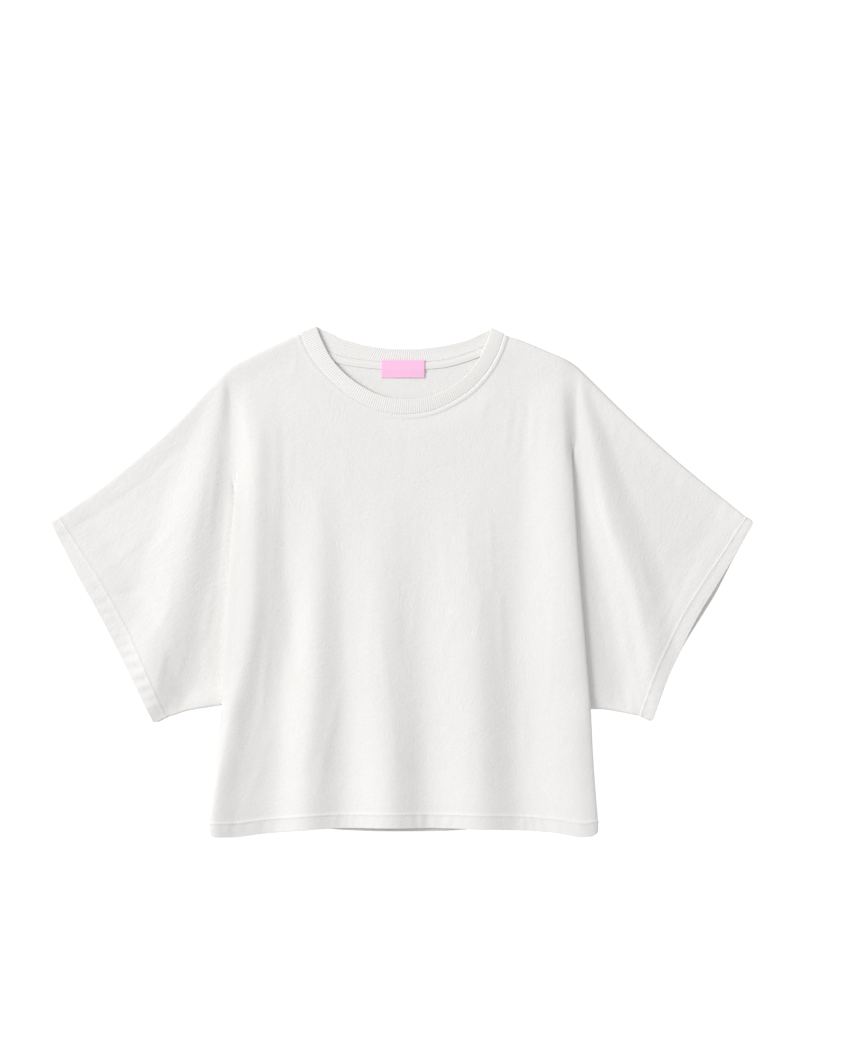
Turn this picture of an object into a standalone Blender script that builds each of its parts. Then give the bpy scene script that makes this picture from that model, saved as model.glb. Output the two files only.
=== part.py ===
"""A wide jersey t-shirt with batwing sleeves, laid flat on its back.

The origin is on the surface that the shirt lies on, in the middle of its box.
+Y runs towards the neck, +X to the viewer's right, +Z up. Sizes and tables are
in millimetres, and wall() turns them to metres. The front is one wall from
cuff to cuff: on each side of the body it folds under itself in a pleat, which
opens to a soft trough below the shoulder.
"""
import bpy
import numpy as np

MM = 0.001
CLOTH = 1.2            # jersey wall
HEM_CLOTH = 2.0        # wall of a turned hem, two layers pressed together
RIB_CLOTH = 1.4        # wall of the neck rib between its ribs
TAPE_CLOTH = 0.5
LABEL_CLOTH = 0.5
GAP = 0.3              # between pieces, at seams and where they lie on each other
NECK_CLEAR = 0.6       # from the rib's seam line to a panel's corners, so that its chords stay clear

HEM_DEPTH = 15.0       # from the hem's edge up to its stitching
STEP = 1.5             # over this length a hem's second layer ends
PUFF = 2.0             # how far the loose front stands off the back
PUFF_WIDTH = 12.0      # over this width a closed edge rounds down
NECK_RIDGE = 0.5       # the covered seam allowance round the neck
NECK_RIDGE_WIDTH = 4.0
NECK_BLEND = 25.0      # from the rib out, the front settles from the rib's height to its own
HEM_BLEND = 14.0       # over this length the front settles from a hem's height to its own
STITCH_GROOVE = 0.15   # depth that the hem's stitching is drawn in
RIB_PITCH = 2.1
RIB_HEIGHT = 0.25
RIB_STAND = 2.2        # the rib's free edge stands this far over its seam
TAPE_WIDTH = 9.0
LABEL_SIZE = (45.7, 18.3)
LABEL_CENTRE = (1.0, 222.4)

ROLL = 2.0             # rounding of the body's folded edge, down
ROLL_WIDTH = 6.0       # and in
SIDE_LIFT = 2.5        # height of the body's side below the underarm
SIDE_RISE = (210.0, 110.0)     # between these y the body's side rises from the shoulder
ROLL_RISE = (210.0, 140.0)     # and its edge gets its rounding
SIDE_TUCK = 0.8        # the side seam lies this far inside the rounded edge
PLEAT_LIFT = 6.5       # height of the body's side over the pleat
PLEAT_ENDS = (-175.5, -110.5)  # between these y that height fades in, round the underarm
PLEAT_DEPTH = {"left": 14.0, "right": 16.0}
PLEAT_TOP = {"left": 122.0, "right": 134.0}    # the overlap is crisp below here
PLEAT_FADE = 42.0
UNDER_Y = -132.0       # the body's row of points that meets the sleeves' lower edges
SLEEVE_FLAT = 22.0     # a sleeve's folds fade out over this distance to its closed edges

BACK_MID = CLOTH / 2
FRONT_MID = CLOTH + GAP + CLOTH / 2
HEM_RISE = (HEM_CLOTH - CLOTH) * 2
RIB_BACK_MID = RIB_CLOTH / 2
RIB_FRONT_MID = CLOTH + GAP + TAPE_CLOTH + GAP + RIB_CLOTH / 2

SHOULDER_Y = 224.0
UNDERARM_Y = {"left": -130.5, "right": -134.7}

# Outlines in plan, each from left to right or from top to bottom: x, y
SHOULDER = {
    "left": [(-182.7, 223.9), (-177.5, 227.6), (-153.3, 240.2), (-126.0, 252.8), (-107.8, 259.9)],
    "right": [(108.6, 258.2), (125.0, 252.4), (154.3, 240.2), (173.2, 231.8), (184.8, 223.9)],
}
NECK_SEAM_FRONT = [
    (-107.1, 259.6), (-101.9, 245.8), (-91.4, 228.3), (-75.6, 210.8), (-56.4, 195.0), (-35.4, 182.8),
    (-12.6, 175.8), (8.4, 174.0), (31.2, 175.8), (53.9, 183.7), (74.9, 196.8), (92.4, 216.0),
    (102.9, 237.0), (107.8, 258.0)]
NECK_EDGE_FRONT = [
    (-90.0, 266.6), (-83.5, 251.0), (-73.8, 232.8), (-56.4, 214.3), (-33.6, 199.4), (-12.6, 191.9),
    (8.4, 190.5), (31.2, 194.2), (50.4, 202.9), (67.9, 216.0), (80.1, 231.8), (88.9, 249.3), (93.4, 264.0)]
NECK_SEAM_BACK = [
    (-107.1, 259.6), (-96.0, 250.0), (-73.5, 239.1), (-54.6, 233.9), (-23.1, 230.2), (3.2, 229.7),
    (39.9, 231.3), (66.2, 238.1), (87.2, 246.5), (107.8, 258.0)]
NECK_EDGE_BACK = [
    (-90.0, 266.6), (-74.5, 259.6), (-59.9, 252.8), (-28.4, 245.4), (3.2, 243.3), (34.6, 245.4),
    (66.2, 252.0), (81.9, 259.0), (93.4, 264.0)]
SLEEVE_TOP = {
    "left": [(-182.7, 223.9), (-206.9, 199.2), (-235.2, 168.8), (-269.9, 137.3), (-308.7, 105.8),
             (-338.1, 84.8), (-369.6, 62.7)],
    "right": [(184.8, 223.9), (198.5, 210.8), (231.0, 179.3), (265.7, 147.8), (302.4, 116.3),
              (342.3, 84.8), (369.6, 62.7)],
}
CUFF = {
    "left": [(-369.6, 62.7), (-343.4, 11.3), (-317.1, -36.5), (-290.9, -87.4), (-264.6, -141.0),
             (-258.3, -149.4)],
    "right": [(369.6, 62.7), (354.9, 36.5), (329.7, -9.7), (317.1, -30.7), (299.2, -62.2),
              (282.4, -93.7), (266.7, -135.7), (262.5, -148.3)],
}
UNDERARM = {
    "left": [(-189.0, -130.5), (-211.1, -135.7), (-226.8, -139.9), (-242.6, -146.2), (-258.3, -149.4)],
    "right": [(197.2, -134.7), (211.1, -136.2), (228.9, -141.0), (247.8, -146.2), (262.5, -148.3)],
}
HEM_FRONT = [
    (-200.6, -268.0), (-173.2, -268.0), (-155.4, -265.9), (-123.9, -262.8), (-75.6, -259.6), (3.2, -259.1),
    (81.9, -260.1), (151.2, -262.8), (186.9, -267.6), (204.8, -265.9)]
HEM_BACK = [
    (-200.6, -268.0), (-173.2, -268.2), (-155.4, -267.4), (-100.0, -264.2), (-60.0, -263.3), (3.2, -263.2),
    (81.9, -263.3), (151.2, -264.8), (186.9, -268.0), (204.8, -266.4)]

# The body's sides: y, x of the left side, x of the right side
BODY_SIDES = np.array([
    (224.0, -182.6, 184.7), (205.0, -178.5, 175.5), (169.0, -174.5, 176.5), (137.0, -172.2, 177.5),
    (85.0, -176.0, 180.6), (30.0, -180.3, 184.0), (-20.0, -183.8, 188.0), (-83.0, -187.0, 193.2),
    (-132.0, -189.1, 197.2), (-178.0, -193.8, 199.5), (-220.0, -198.5, 202.3), (-252.0, -201.6, 204.8)])

# Depth of each cuff's turned hem: part of the way down the cuff, left, right
CUFF_HEM = np.array([(0.0, 10.0, 9.0), (0.3, 18.0, 14.0), (0.6, 19.0, 15.0), (1.0, 14.0, 14.0)])
CUFF_INSET = 4.7       # the right front cuff lies this far inside the back one

# Folds of the body that run down to the hem. Height: of its crest, or of a
# trough's floor, over the loose front. Top: the y where it begins. Then x at
# each of the stations' y.
FOLD_STATIONS = np.array([170.0, 105.0, 40.0, -50.0, -125.0, -185.0, -268.0])
FOLD_FULL_Y = -115.0
FOLDS = [
    # name, height, top, x at the stations
    ("left crest", 9.0, 215.0, (-156.0, -156.0, -159.0, -163.0, -170.0, -179.0, -188.0)),
    ("left trough", 0.5, 160.0, (-132.0, -124.0, -123.0, -127.0, -132.0, -137.0, -142.0)),
    ("second crest", 7.5, 125.0, (-82.0, -84.0, -87.0, -90.0, -92.0, -96.0, -99.0)),
    ("second trough", 2.2, 125.0, (-66.0, -65.0, -62.0, -60.0, -60.0, -61.0, -63.0)),
    ("middle crest", 7.0, 110.0, (-21.0, -21.0, -22.0, -19.0, -16.0, -12.0, -9.0)),
    ("middle trough", 1.2, 110.0, (19.0, 19.5, 20.0, 23.0, 24.0, 26.0, 28.0)),
    ("fourth crest", 8.0, 120.0, (71.0, 71.0, 69.0, 77.0, 81.0, 84.0, 87.0)),
    ("fourth trough", 0.3, 160.0, (123.0, 123.0, 121.0, 120.0, 123.0, 126.0, 133.0)),
    ("right crest", 9.0, 215.0, (159.0, 164.0, 168.0, 174.0, 180.0, 185.0, 191.0)),
]

# Soft folds of the sleeves: start x, y, end x, y, height, half width
SLEEVE_FOLDS = {
    "left": [
        (-198.0, 200.0, -222.0, 30.0, 4.5, 26.0),
        (-222.0, 30.0, -262.0, -135.0, 5.5, 30.0),
        (-262.0, 135.0, -318.0, 10.0, 2.0, 34.0),
    ],
    "right": [
        (200.0, 190.0, 232.0, 45.0, 4.5, 24.0),
        (232.0, 45.0, 262.0, -60.0, 5.0, 28.0),
        (266.0, 130.0, 330.0, 30.0, 2.5, 36.0),
    ],
}

# The pleat's section from the body's edge to the sleeve. Open: distance out
# and share of the body's height. Closed: distance out, how much of the pleat's
# depth is taken off that distance, and height over the sleeve's layer.
PLEAT = [
    # name, open out, open share, closed out, share of depth, closed height
    ("under the edge", 1.2, 0.85, -1.2, 0.0, 3.0),
    ("return layer", 2.6, 0.65, -0.5, 0.5, 2.5),
    ("top of the turn", 4.0, 0.45, 0.8, 1.0, 2.2),
    ("turn", 5.4, 0.28, 0.0, 1.0, 1.1),
    ("foot of the turn", 7.0, 0.14, 0.8, 1.0, 0.0),
    ("layer below", 9.0, 0.05, 0.0, 0.4, 0.0),
]
PLEAT_OUT = 13.0       # the sleeve's own grid begins here

# Grid counts, and how fast the sides' own shape fades out towards the middle
SIDE_FADE = 5
SHOULDER_COLUMNS = 8
NECK_COLUMNS = 26
SLEEVE_COLUMNS = 8
ARM_ROWS = 22
SIDE_ROWS = 7
BACK_NECK_COLUMNS = 24
BACK_SHOULDER_COLUMNS = 3
BACK_SLEEVE_COLUMNS = 4
BACK_ARM_ROWS = 8
BACK_SIDE_ROWS = 3


def smooth(start, end, value):
    """Runs from 0 at start to 1 at end with soft ends."""
    share = np.clip((value - start) / (end - start), 0.0, 1.0)
    return share * share * (3.0 - 2.0 * share)


def quarter_round(distance, width):
    """Height share of a round edge: 0 at the edge, 1 from width inwards."""
    share = 1.0 - np.clip(distance / width, 0.0, 1.0)
    return np.sqrt(1.0 - share * share)


def curve(points):
    """A smooth line through points, as a function of the share of its length."""
    points = np.array(points, float)
    ends = np.vstack([2 * points[0] - points[1], points, 2 * points[-1] - points[-2]])
    share = np.linspace(0.0, 1.0, 13)[:-1, None]
    fine = []
    for before, start, end, after in zip(ends, ends[1:], ends[2:], ends[3:]):
        slope_in = (end - before) / 2
        slope_out = (after - start) / 2
        fine.append((2 * share**3 - 3 * share**2 + 1) * start + (share**3 - 2 * share**2 + share) * slope_in
                    + (3 * share**2 - 2 * share**3) * end + (share**3 - share**2) * slope_out)
    fine = np.vstack(fine + [points[-1:]])
    length = np.concatenate([[0.0], np.cumsum(np.linalg.norm(np.diff(fine, axis=0), axis=1))])

    def at(part):
        where = np.asarray(part) * length[-1]
        return np.stack([np.interp(where, length, fine[:, 0]), np.interp(where, length, fine[:, 1])], axis=-1)
    return at


def track(y, stations, values):
    """A smooth value down the shirt, through the values at falling stations."""
    falling = -np.asarray(stations, float)
    values = np.asarray(values, float)
    slopes = np.gradient(values, falling)
    depth = np.clip(-np.asarray(y, float), falling[0], falling[-1])
    first = np.clip(np.searchsorted(falling, depth) - 1, 0, len(falling) - 2)
    span = falling[first + 1] - falling[first]
    share = (depth - falling[first]) / span
    return ((2 * share**3 - 3 * share**2 + 1) * values[first]
            + (share**3 - 2 * share**2 + share) * span * slopes[first]
            + (3 * share**2 - 2 * share**3) * values[first + 1]
            + (share**3 - share**2) * span * slopes[first + 1])


def side_x(y, side):
    return track(y, BODY_SIDES[:, 0], BODY_SIDES[:, 1 if side == "left" else 2])


def distance_to(points, line, samples=60):
    """Distance in plan from points to a line given as a function of its length."""
    ends = line(np.linspace(0.0, 1.0, samples))
    best = np.full(points.shape[:-1], np.inf)
    for start, end in zip(ends[:-1], ends[1:]):
        along = end - start
        share = np.clip(((points[..., :2] - start) @ along) / (along @ along), 0.0, 1.0)
        foot = start + share[..., None] * along
        best = np.minimum(best, np.linalg.norm(points[..., :2] - foot, axis=-1))
    return best


def patch(top, bottom, first, last, across, down, fade):
    """Points ruled from a top edge to a bottom edge, pulled onto its two ends.

    The pull towards the first and last end fades inwards, faster with a high fade.
    """
    across_share, down_share = across, down
    across, down = across[..., None], down[..., None]
    ruled = (1 - down) * top(across_share) + down * bottom(across_share)
    first_pull = first(down_share) - ((1 - down) * top(0.0) + down * bottom(0.0))
    last_pull = last(down_share) - ((1 - down) * top(1.0) + down * bottom(1.0))
    return ruled + (1 - across) ** fade * first_pull + across ** fade * last_pull


def neckline(seam, clear):
    """The panel's neck edge, moved off the rib's seam line by the gap."""
    points = np.array(seam)
    along = np.gradient(points, axis=0)
    away = np.stack([along[:, 1], -along[:, 0]], axis=-1)
    away /= np.linalg.norm(away, axis=-1, keepdims=True)
    return curve(points + away * clear)


def panel_top(neck, shoulder_columns, neck_columns):
    """Top edge of a body: shoulder, neck, shoulder, a share for each column."""
    left = curve(SHOULDER["left"])
    right = curve(SHOULDER["right"])
    total = 2 * shoulder_columns + neck_columns
    corner = shoulder_columns / total

    def at(share):
        share = np.asarray(share, float)[..., None]
        on_neck = np.clip((share - corner) / (1 - 2 * corner), 0.0, 1.0)[..., 0]
        on_left = np.clip(share / corner, 0.0, 1.0)[..., 0]
        on_right = np.clip((share - 1 + corner) / corner, 0.0, 1.0)[..., 0]
        middle = np.where(share < corner, left(on_left), neck(on_neck))
        return np.where(share > 1 - corner, right(on_right), middle)
    return at


def body_grid(neck, hem, columns, arm_rows, side_rows):
    """Plan points of a body: rows down from the shoulder, columns from the left."""
    shoulder_columns, neck_columns = columns
    total = 2 * shoulder_columns + neck_columns
    across = np.concatenate([[0.0, 0.3 / total], np.arange(1, total) / total, [1 - 0.3 / total, 1.0]])
    hem_line = curve(hem)
    stitch_y = hem_line(0.5)[1] + HEM_DEPTH
    lift = HEM_DEPTH + STEP

    def low_edge(share):
        edge = hem_line(share)
        x = side_x(edge[..., 1] + lift, "left") * (1 - np.asarray(share)) \
            + side_x(edge[..., 1] + lift, "right") * np.asarray(share)
        straight = hem_line(0.0)[0] * (1 - np.asarray(share)) + hem_line(1.0)[0] * np.asarray(share)
        return np.stack([edge[..., 0] + x - straight, edge[..., 1] + lift], axis=-1)

    neck_rows = np.array([0.0, NECK_RIDGE_WIDTH, NECK_RIDGE_WIDTH + STEP]) / (SHOULDER_Y - stitch_y)
    under = (SHOULDER_Y - UNDER_Y) / (SHOULDER_Y - stitch_y - STEP)
    arm = np.concatenate([neck_rows, np.linspace(0.0, under, arm_rows + 1)[1:]])
    down = np.concatenate([arm, np.linspace(under, 1.0, side_rows + 1)[1:]])

    def side(name, end_y):
        def at(share):
            y = np.interp(share, [0.0, under, 1.0], [SHOULDER_Y, UNDERARM_Y[name], end_y])
            return np.stack([side_x(y, name), y], axis=-1)
        return at
    across_all, down_all = np.meshgrid(across, down)
    grid = patch(panel_top(neck, shoulder_columns, neck_columns), low_edge,
                 side("left", hem_line(0.0)[1] + lift), side("right", hem_line(1.0)[1] + lift),
                 across_all, down_all, SIDE_FADE)
    hem_shares = np.array([STEP, lift / 2, lift]) / lift
    strip = [grid[-1] + (hem_line(across) - grid[-1]) * share for share in hem_shares]
    return np.concatenate([grid, strip]), arm / under


def cuff_lines(name, inset):
    """A cuff's edge and the line where its turned hem ends."""
    edge = curve(CUFF[name])
    inward = 1.0 if name == "left" else -1.0
    hem_column = 1 if name == "left" else 2
    along = edge(1.0) - edge(0.0)
    across = np.array([-along[1], along[0]]) / np.linalg.norm(along)
    across = across * np.sign(across[0]) * inward

    def moved(share, depth):
        return edge(share) + across * depth[..., None]

    def front_edge(share):
        share = np.asarray(share, float)
        return moved(share, inset * np.sin(np.pi * np.clip((share - 0.12) / 0.6, 0.0, 1.0)) ** 2)

    def hem_end(share):
        share = np.asarray(share, float)
        depth = np.interp(share, CUFF_HEM[:, 0], CUFF_HEM[:, hem_column]) + STEP
        return front_edge(share) + (moved(share, depth) - edge(share))
    return front_edge, hem_end


def sleeve_grid(name, rows, first_outs, columns, inset):
    """Plan points of a sleeve, columns from the body outwards.

    first_outs are distances out from the body's side, where the grid begins.
    """
    front_edge, hem_end = cuff_lines(name, inset)
    top_line = curve(SLEEVE_TOP[name])
    low_line = curve(UNDERARM[name])

    def body_side(share):
        y = SHOULDER_Y + (UNDERARM_Y[name] - SHOULDER_Y) * np.asarray(share, float)
        return np.stack([side_x(y, name), y], axis=-1)

    def part_of(line, stop):
        return lambda share: line(np.asarray(share, float) * stop)

    def stop_at(line, goal):
        shares = np.linspace(0.0, 1.0, 400)
        return shares[np.argmin(np.linalg.norm(line(shares) - goal, axis=-1))]
    top = part_of(top_line, stop_at(top_line, hem_end(0.0)))
    low = part_of(low_line, stop_at(low_line, hem_end(1.0)))

    def plan(across, down):
        return patch(top, low, body_side, hem_end, across, down, 1)
    span = np.linalg.norm(plan(np.ones_like(rows), rows) - plan(np.zeros_like(rows), rows), axis=-1)
    outs = np.asarray(first_outs, float)[None, :] / span[:, None]
    first = outs[:, -1:]
    even = first + (1 - first) * np.linspace(0.0, 1.0, columns + 1)[None, 1:]
    across = np.concatenate([outs, even], axis=1)
    grid = plan(across, np.repeat(rows[:, None], across.shape[1], axis=1))
    start = body_side(rows)
    direction = plan(np.full_like(rows, 0.12), rows) - start
    direction /= np.linalg.norm(direction, axis=-1, keepdims=True)
    last = grid[:, -1]
    strip = [last + (front_edge(rows) - last) * share for share in (0.12, 0.56, 1.0)]
    return np.concatenate([grid, np.stack(strip, axis=1)], axis=1), start, direction


def closed_edges():
    lines = [curve(SHOULDER["left"]), curve(SHOULDER["right"])]
    for name in ("left", "right"):
        lines += [curve(SLEEVE_TOP[name]), curve(UNDERARM[name])]
    return lines


def loose_height(points):
    """Height of the loose front over the layer below it, with no folds."""
    height = np.full(points.shape[:-1], PUFF)
    for line in closed_edges():
        height = np.minimum(height, PUFF * quarter_round(distance_to(points, line, 24), PUFF_WIDTH))
    return height


def body_folds(points):
    """Height of the folds that run down the body, between its two sides."""
    x, y = points[..., 0], points[..., 1]
    places = []
    heights = []
    side_height = (SIDE_LIFT + (PLEAT_LIFT - SIDE_LIFT) * smooth(*PLEAT_ENDS, y)) * smooth(*SIDE_RISE, y)
    places.append(side_x(y, "left"))
    heights.append(side_height)
    for _, height, top, stations in FOLDS:
        places.append(track(y, FOLD_STATIONS, stations))
        heights.append(height * smooth(top, FOLD_FULL_Y, y) ** 0.8)
    places.append(side_x(y, "right"))
    heights.append(side_height)
    result = np.zeros_like(x)
    for left, right, low, high in zip(places, places[1:], heights, heights[1:]):
        share = smooth(left, right, x)
        result = np.where((x >= left) & (x <= right), low + (high - low) * share, result)
    return np.where(x < places[0], heights[0], np.where(x > places[-1], heights[-1], result))


def sleeve_folds(points, name):
    """Height of the soft folds of one sleeve."""
    total = np.zeros(points.shape[:-1])
    for start_x, start_y, end_x, end_y, height, width in SLEEVE_FOLDS[name]:
        start = np.array([start_x, start_y])
        along = np.array([end_x, end_y]) - start
        share = ((points[..., :2] - start) @ along) / (along @ along)
        foot = start + np.clip(share, 0.0, 1.0)[..., None] * along
        away = np.linalg.norm(points[..., :2] - foot, axis=-1)
        total = np.maximum(total, height * (1.0 - smooth(0.0, width, away)))
    lines = (curve(SLEEVE_TOP[name]), curve(UNDERARM[name]))
    for line in lines:
        total = total * smooth(0.0, SLEEVE_FLAT, distance_to(points, line, 24))
    return total


def wall(name, points, cells, outer, inner, material):
    """A closed cloth wall round a middle surface, thickened along its normals."""
    points = np.asarray(points, float)
    used = np.unique(np.array(cells))
    place = {number: index for index, number in enumerate(used)}
    cells = [tuple(place[number] for number in cell) for cell in cells]
    points, outer, inner = points[used], np.asarray(outer)[used], np.asarray(inner)[used]
    normals = np.zeros_like(points)
    corners = np.array(cells)
    for turn in range(4):
        before, here, after = (np.roll(corners, shift, axis=1)[:, turn] for shift in (1, 0, -1))
        np.add.at(normals, here, np.cross(points[after] - points[here], points[before] - points[here]))
    normals /= np.linalg.norm(normals, axis=1, keepdims=True)
    count = len(points)
    vertices = np.vstack([points + normals * outer[:, None], points - normals * inner[:, None]]) * MM
    faces = [tuple(cell) for cell in cells]
    faces += [tuple(number + count for number in reversed(cell)) for cell in cells]
    edges = {(cell[turn], cell[(turn + 1) % 4]) for cell in cells for turn in range(4)}
    for start, end in edges:
        if (end, start) not in edges:
            faces.append((end, start, start + count, end + count))
    mesh = bpy.data.meshes.new(name)
    mesh.from_pydata(vertices.tolist(), [], faces)
    mesh.materials.append(material)
    mesh.shade_smooth()
    mesh.set_sharp_from_angle(angle=np.radians(50.0))
    thing = bpy.data.objects.new(name, mesh)
    bpy.context.scene.collection.objects.link(thing)
    return thing


def grid_cells(present):
    """Four-cornered cells between the present points of a grid, facing up."""
    rows, columns = present.shape
    number = np.arange(rows * columns).reshape(rows, columns)
    cells = []
    for row in range(rows - 1):
        for column in range(columns - 1):
            if present[row:row + 2, column:column + 2].all():
                cells.append((number[row, column], number[row + 1, column],
                              number[row + 1, column + 1], number[row, column + 1]))
    return cells


def cloth(name, colour, roughness):
    material = bpy.data.materials.new(name)
    material.use_nodes = True
    shader = material.node_tree.nodes["Principled BSDF"]
    shader.inputs["Base Color"].default_value = (*colour, 1.0)
    shader.inputs["Roughness"].default_value = roughness
    shader.inputs["Metallic"].default_value = 0.0
    return material


def front_panel(material):
    body, arm_shares = body_grid(neckline(NECK_SEAM_FRONT, NECK_CLEAR), HEM_FRONT,
                                 (SHOULDER_COLUMNS, NECK_COLUMNS), ARM_ROWS, SIDE_ROWS)
    arm_count = len(arm_shares)
    row_count, body_columns = body.shape[:2]
    x, y = body[..., 0], body[..., 1]
    neck_near = 1.0 - smooth(0.0, NECK_BLEND, distance_to(body, curve(NECK_SEAM_FRONT)))
    low = np.linspace(0.0, 1.0, row_count)
    rise = np.zeros(row_count)
    rise[-4:] = HEM_RISE
    hem_top = HEM_DEPTH + STEP
    hem_near = smooth(hem_top + HEM_BLEND, hem_top, y - curve(HEM_FRONT)(0.5)[1])
    height = FRONT_MID + np.maximum(rise[:, None], HEM_RISE * hem_near * (low[:, None] > 0.5))
    height = height + loose_height(body) * (1 - neck_near) + body_folds(body)
    height = height + neck_near * (RIB_FRONT_MID - FRONT_MID)
    for name in ("left", "right"):
        inside = np.abs(x - side_x(y, name))
        height = height - ROLL * smooth(*ROLL_RISE, y) * (1 - quarter_round(inside, ROLL_WIDTH))
    body = np.concatenate([body, height[..., None]], axis=-1)

    blocks = {}
    for name in ("left", "right"):
        blocks[name] = pleated_sleeve(name, arm_shares, body[:arm_count, 0 if name == "left" else -1])
    left, right = blocks["left"][:, ::-1], blocks["right"]
    columns = left.shape[1] + body_columns + right.shape[1]
    grid = np.zeros((row_count, columns, 3))
    present = np.zeros((row_count, columns), bool)
    body_at = slice(left.shape[1], left.shape[1] + body_columns)
    grid[:, body_at] = body
    present[:, body_at] = True
    grid[:arm_count, :left.shape[1]] = left
    grid[:arm_count, left.shape[1] + body_columns:] = right
    present[:arm_count] = True
    # below the underarm the body's side turns down to the back panel
    for column, edge in ((left.shape[1] - 1, left.shape[1]), (-right.shape[1], -right.shape[1] - 1)):
        side = grid[arm_count:, edge].copy()
        side[:, 0] -= np.sign(side[:, 0]) * SIDE_TUCK
        side[:, 2] = FRONT_MID + rise[arm_count:]
        grid[arm_count:, column] = side
        present[arm_count:, column] = True

    outer = np.full(present.shape, CLOTH / 2)
    inner = np.full(present.shape, CLOTH / 2)
    inner[-3:] = HEM_CLOTH - CLOTH / 2
    outer[-4:-2, body_at] -= STITCH_GROOVE
    neck_at = slice(left.shape[1] + 1 + SHOULDER_COLUMNS, left.shape[1] + 2 + SHOULDER_COLUMNS + NECK_COLUMNS)
    slope = np.gradient(grid[0, neck_at, :2], axis=0)
    outer[:2, neck_at] += NECK_RIDGE * np.abs(slope[:, 0]) / np.linalg.norm(slope, axis=1)
    inner[:arm_count, :3] = HEM_CLOTH - CLOTH / 2
    inner[:arm_count, -3:] = HEM_CLOTH - CLOTH / 2
    return wall("front_panel", grid.reshape(-1, 3), grid_cells(present), outer.ravel(), inner.ravel(),
                material)


def pleated_sleeve(name, arm_shares, edge):
    """Points of a sleeve and its pleat, columns from under the body's edge outwards."""
    inset = CUFF_INSET if name == "right" else 0.0
    grid, start, direction = sleeve_grid(name, arm_shares, [PLEAT_OUT], SLEEVE_COLUMNS, inset)
    columns = grid.shape[1]
    hem_rise = np.zeros(columns)
    hem_rise[-4:] = HEM_RISE
    hem_rise[-5] = HEM_RISE * 0.35
    height = FRONT_MID + hem_rise + loose_height(grid) + sleeve_folds(grid, name)
    sleeve = np.concatenate([grid, height[..., None]], axis=-1)
    closed = smooth(PLEAT_TOP[name], PLEAT_TOP[name] - PLEAT_FADE, start[:, 1])
    reach = np.clip((PLEAT_TOP[name] - start[:, 1]) / (PLEAT_TOP[name] - UNDERARM_Y[name]), 0.0, 1.0)
    depth = PLEAT_DEPTH[name] * reach ** 0.7
    low = FRONT_MID + (sleeve[:, 0, 2] - FRONT_MID) * 0.5
    layers = []
    for _, open_out, open_share, closed_out, depth_share, closed_height in PLEAT:
        out = open_out * (1 - closed) + (closed_out - depth * depth_share) * closed
        open_height = sleeve[:, 0, 2] + (edge[:, 2] - sleeve[:, 0, 2]) * open_share
        folded_height = low * (1 - closed) + FRONT_MID * closed + closed_height
        z = open_height * (1 - closed) + folded_height * closed
        layers.append(np.concatenate([start + direction * out[:, None], z[:, None]], axis=-1))
    return np.concatenate([np.stack(layers, axis=1), sleeve], axis=1)


def back_panel(material):
    body, arm_shares = body_grid(neckline(NECK_SEAM_BACK, NECK_CLEAR), HEM_BACK,
                                 (BACK_SHOULDER_COLUMNS, BACK_NECK_COLUMNS), BACK_ARM_ROWS, BACK_SIDE_ROWS)
    arm_count = len(arm_shares)
    sleeves = {}
    for name in ("left", "right"):
        sleeves[name] = sleeve_grid(name, arm_shares, [PLEAT_OUT], BACK_SLEEVE_COLUMNS, 0.0)[0]
    left, right = sleeves["left"][:, ::-1], sleeves["right"]
    plan = np.zeros((body.shape[0], left.shape[1] + body.shape[1] + right.shape[1], 2))
    present = np.zeros(plan.shape[:2], bool)
    body_at = slice(left.shape[1], left.shape[1] + body.shape[1])
    plan[:, body_at] = body
    present[:, body_at] = True
    plan[:arm_count, :left.shape[1]] = left
    plan[:arm_count, body_at.stop:] = right
    present[:arm_count] = True
    points = np.concatenate([plan, np.full(plan.shape[:2] + (1,), BACK_MID)], axis=-1)
    upper = np.full(present.shape, CLOTH / 2)
    upper[-3:] = HEM_CLOTH - CLOTH / 2
    upper[:arm_count, :3] = HEM_CLOTH - CLOTH / 2
    upper[:arm_count, -3:] = HEM_CLOTH - CLOTH / 2
    lower = np.full(upper.size, CLOTH / 2)
    return wall("back_panel", points.reshape(-1, 3), grid_cells(present), upper.ravel(), lower, material)


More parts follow.
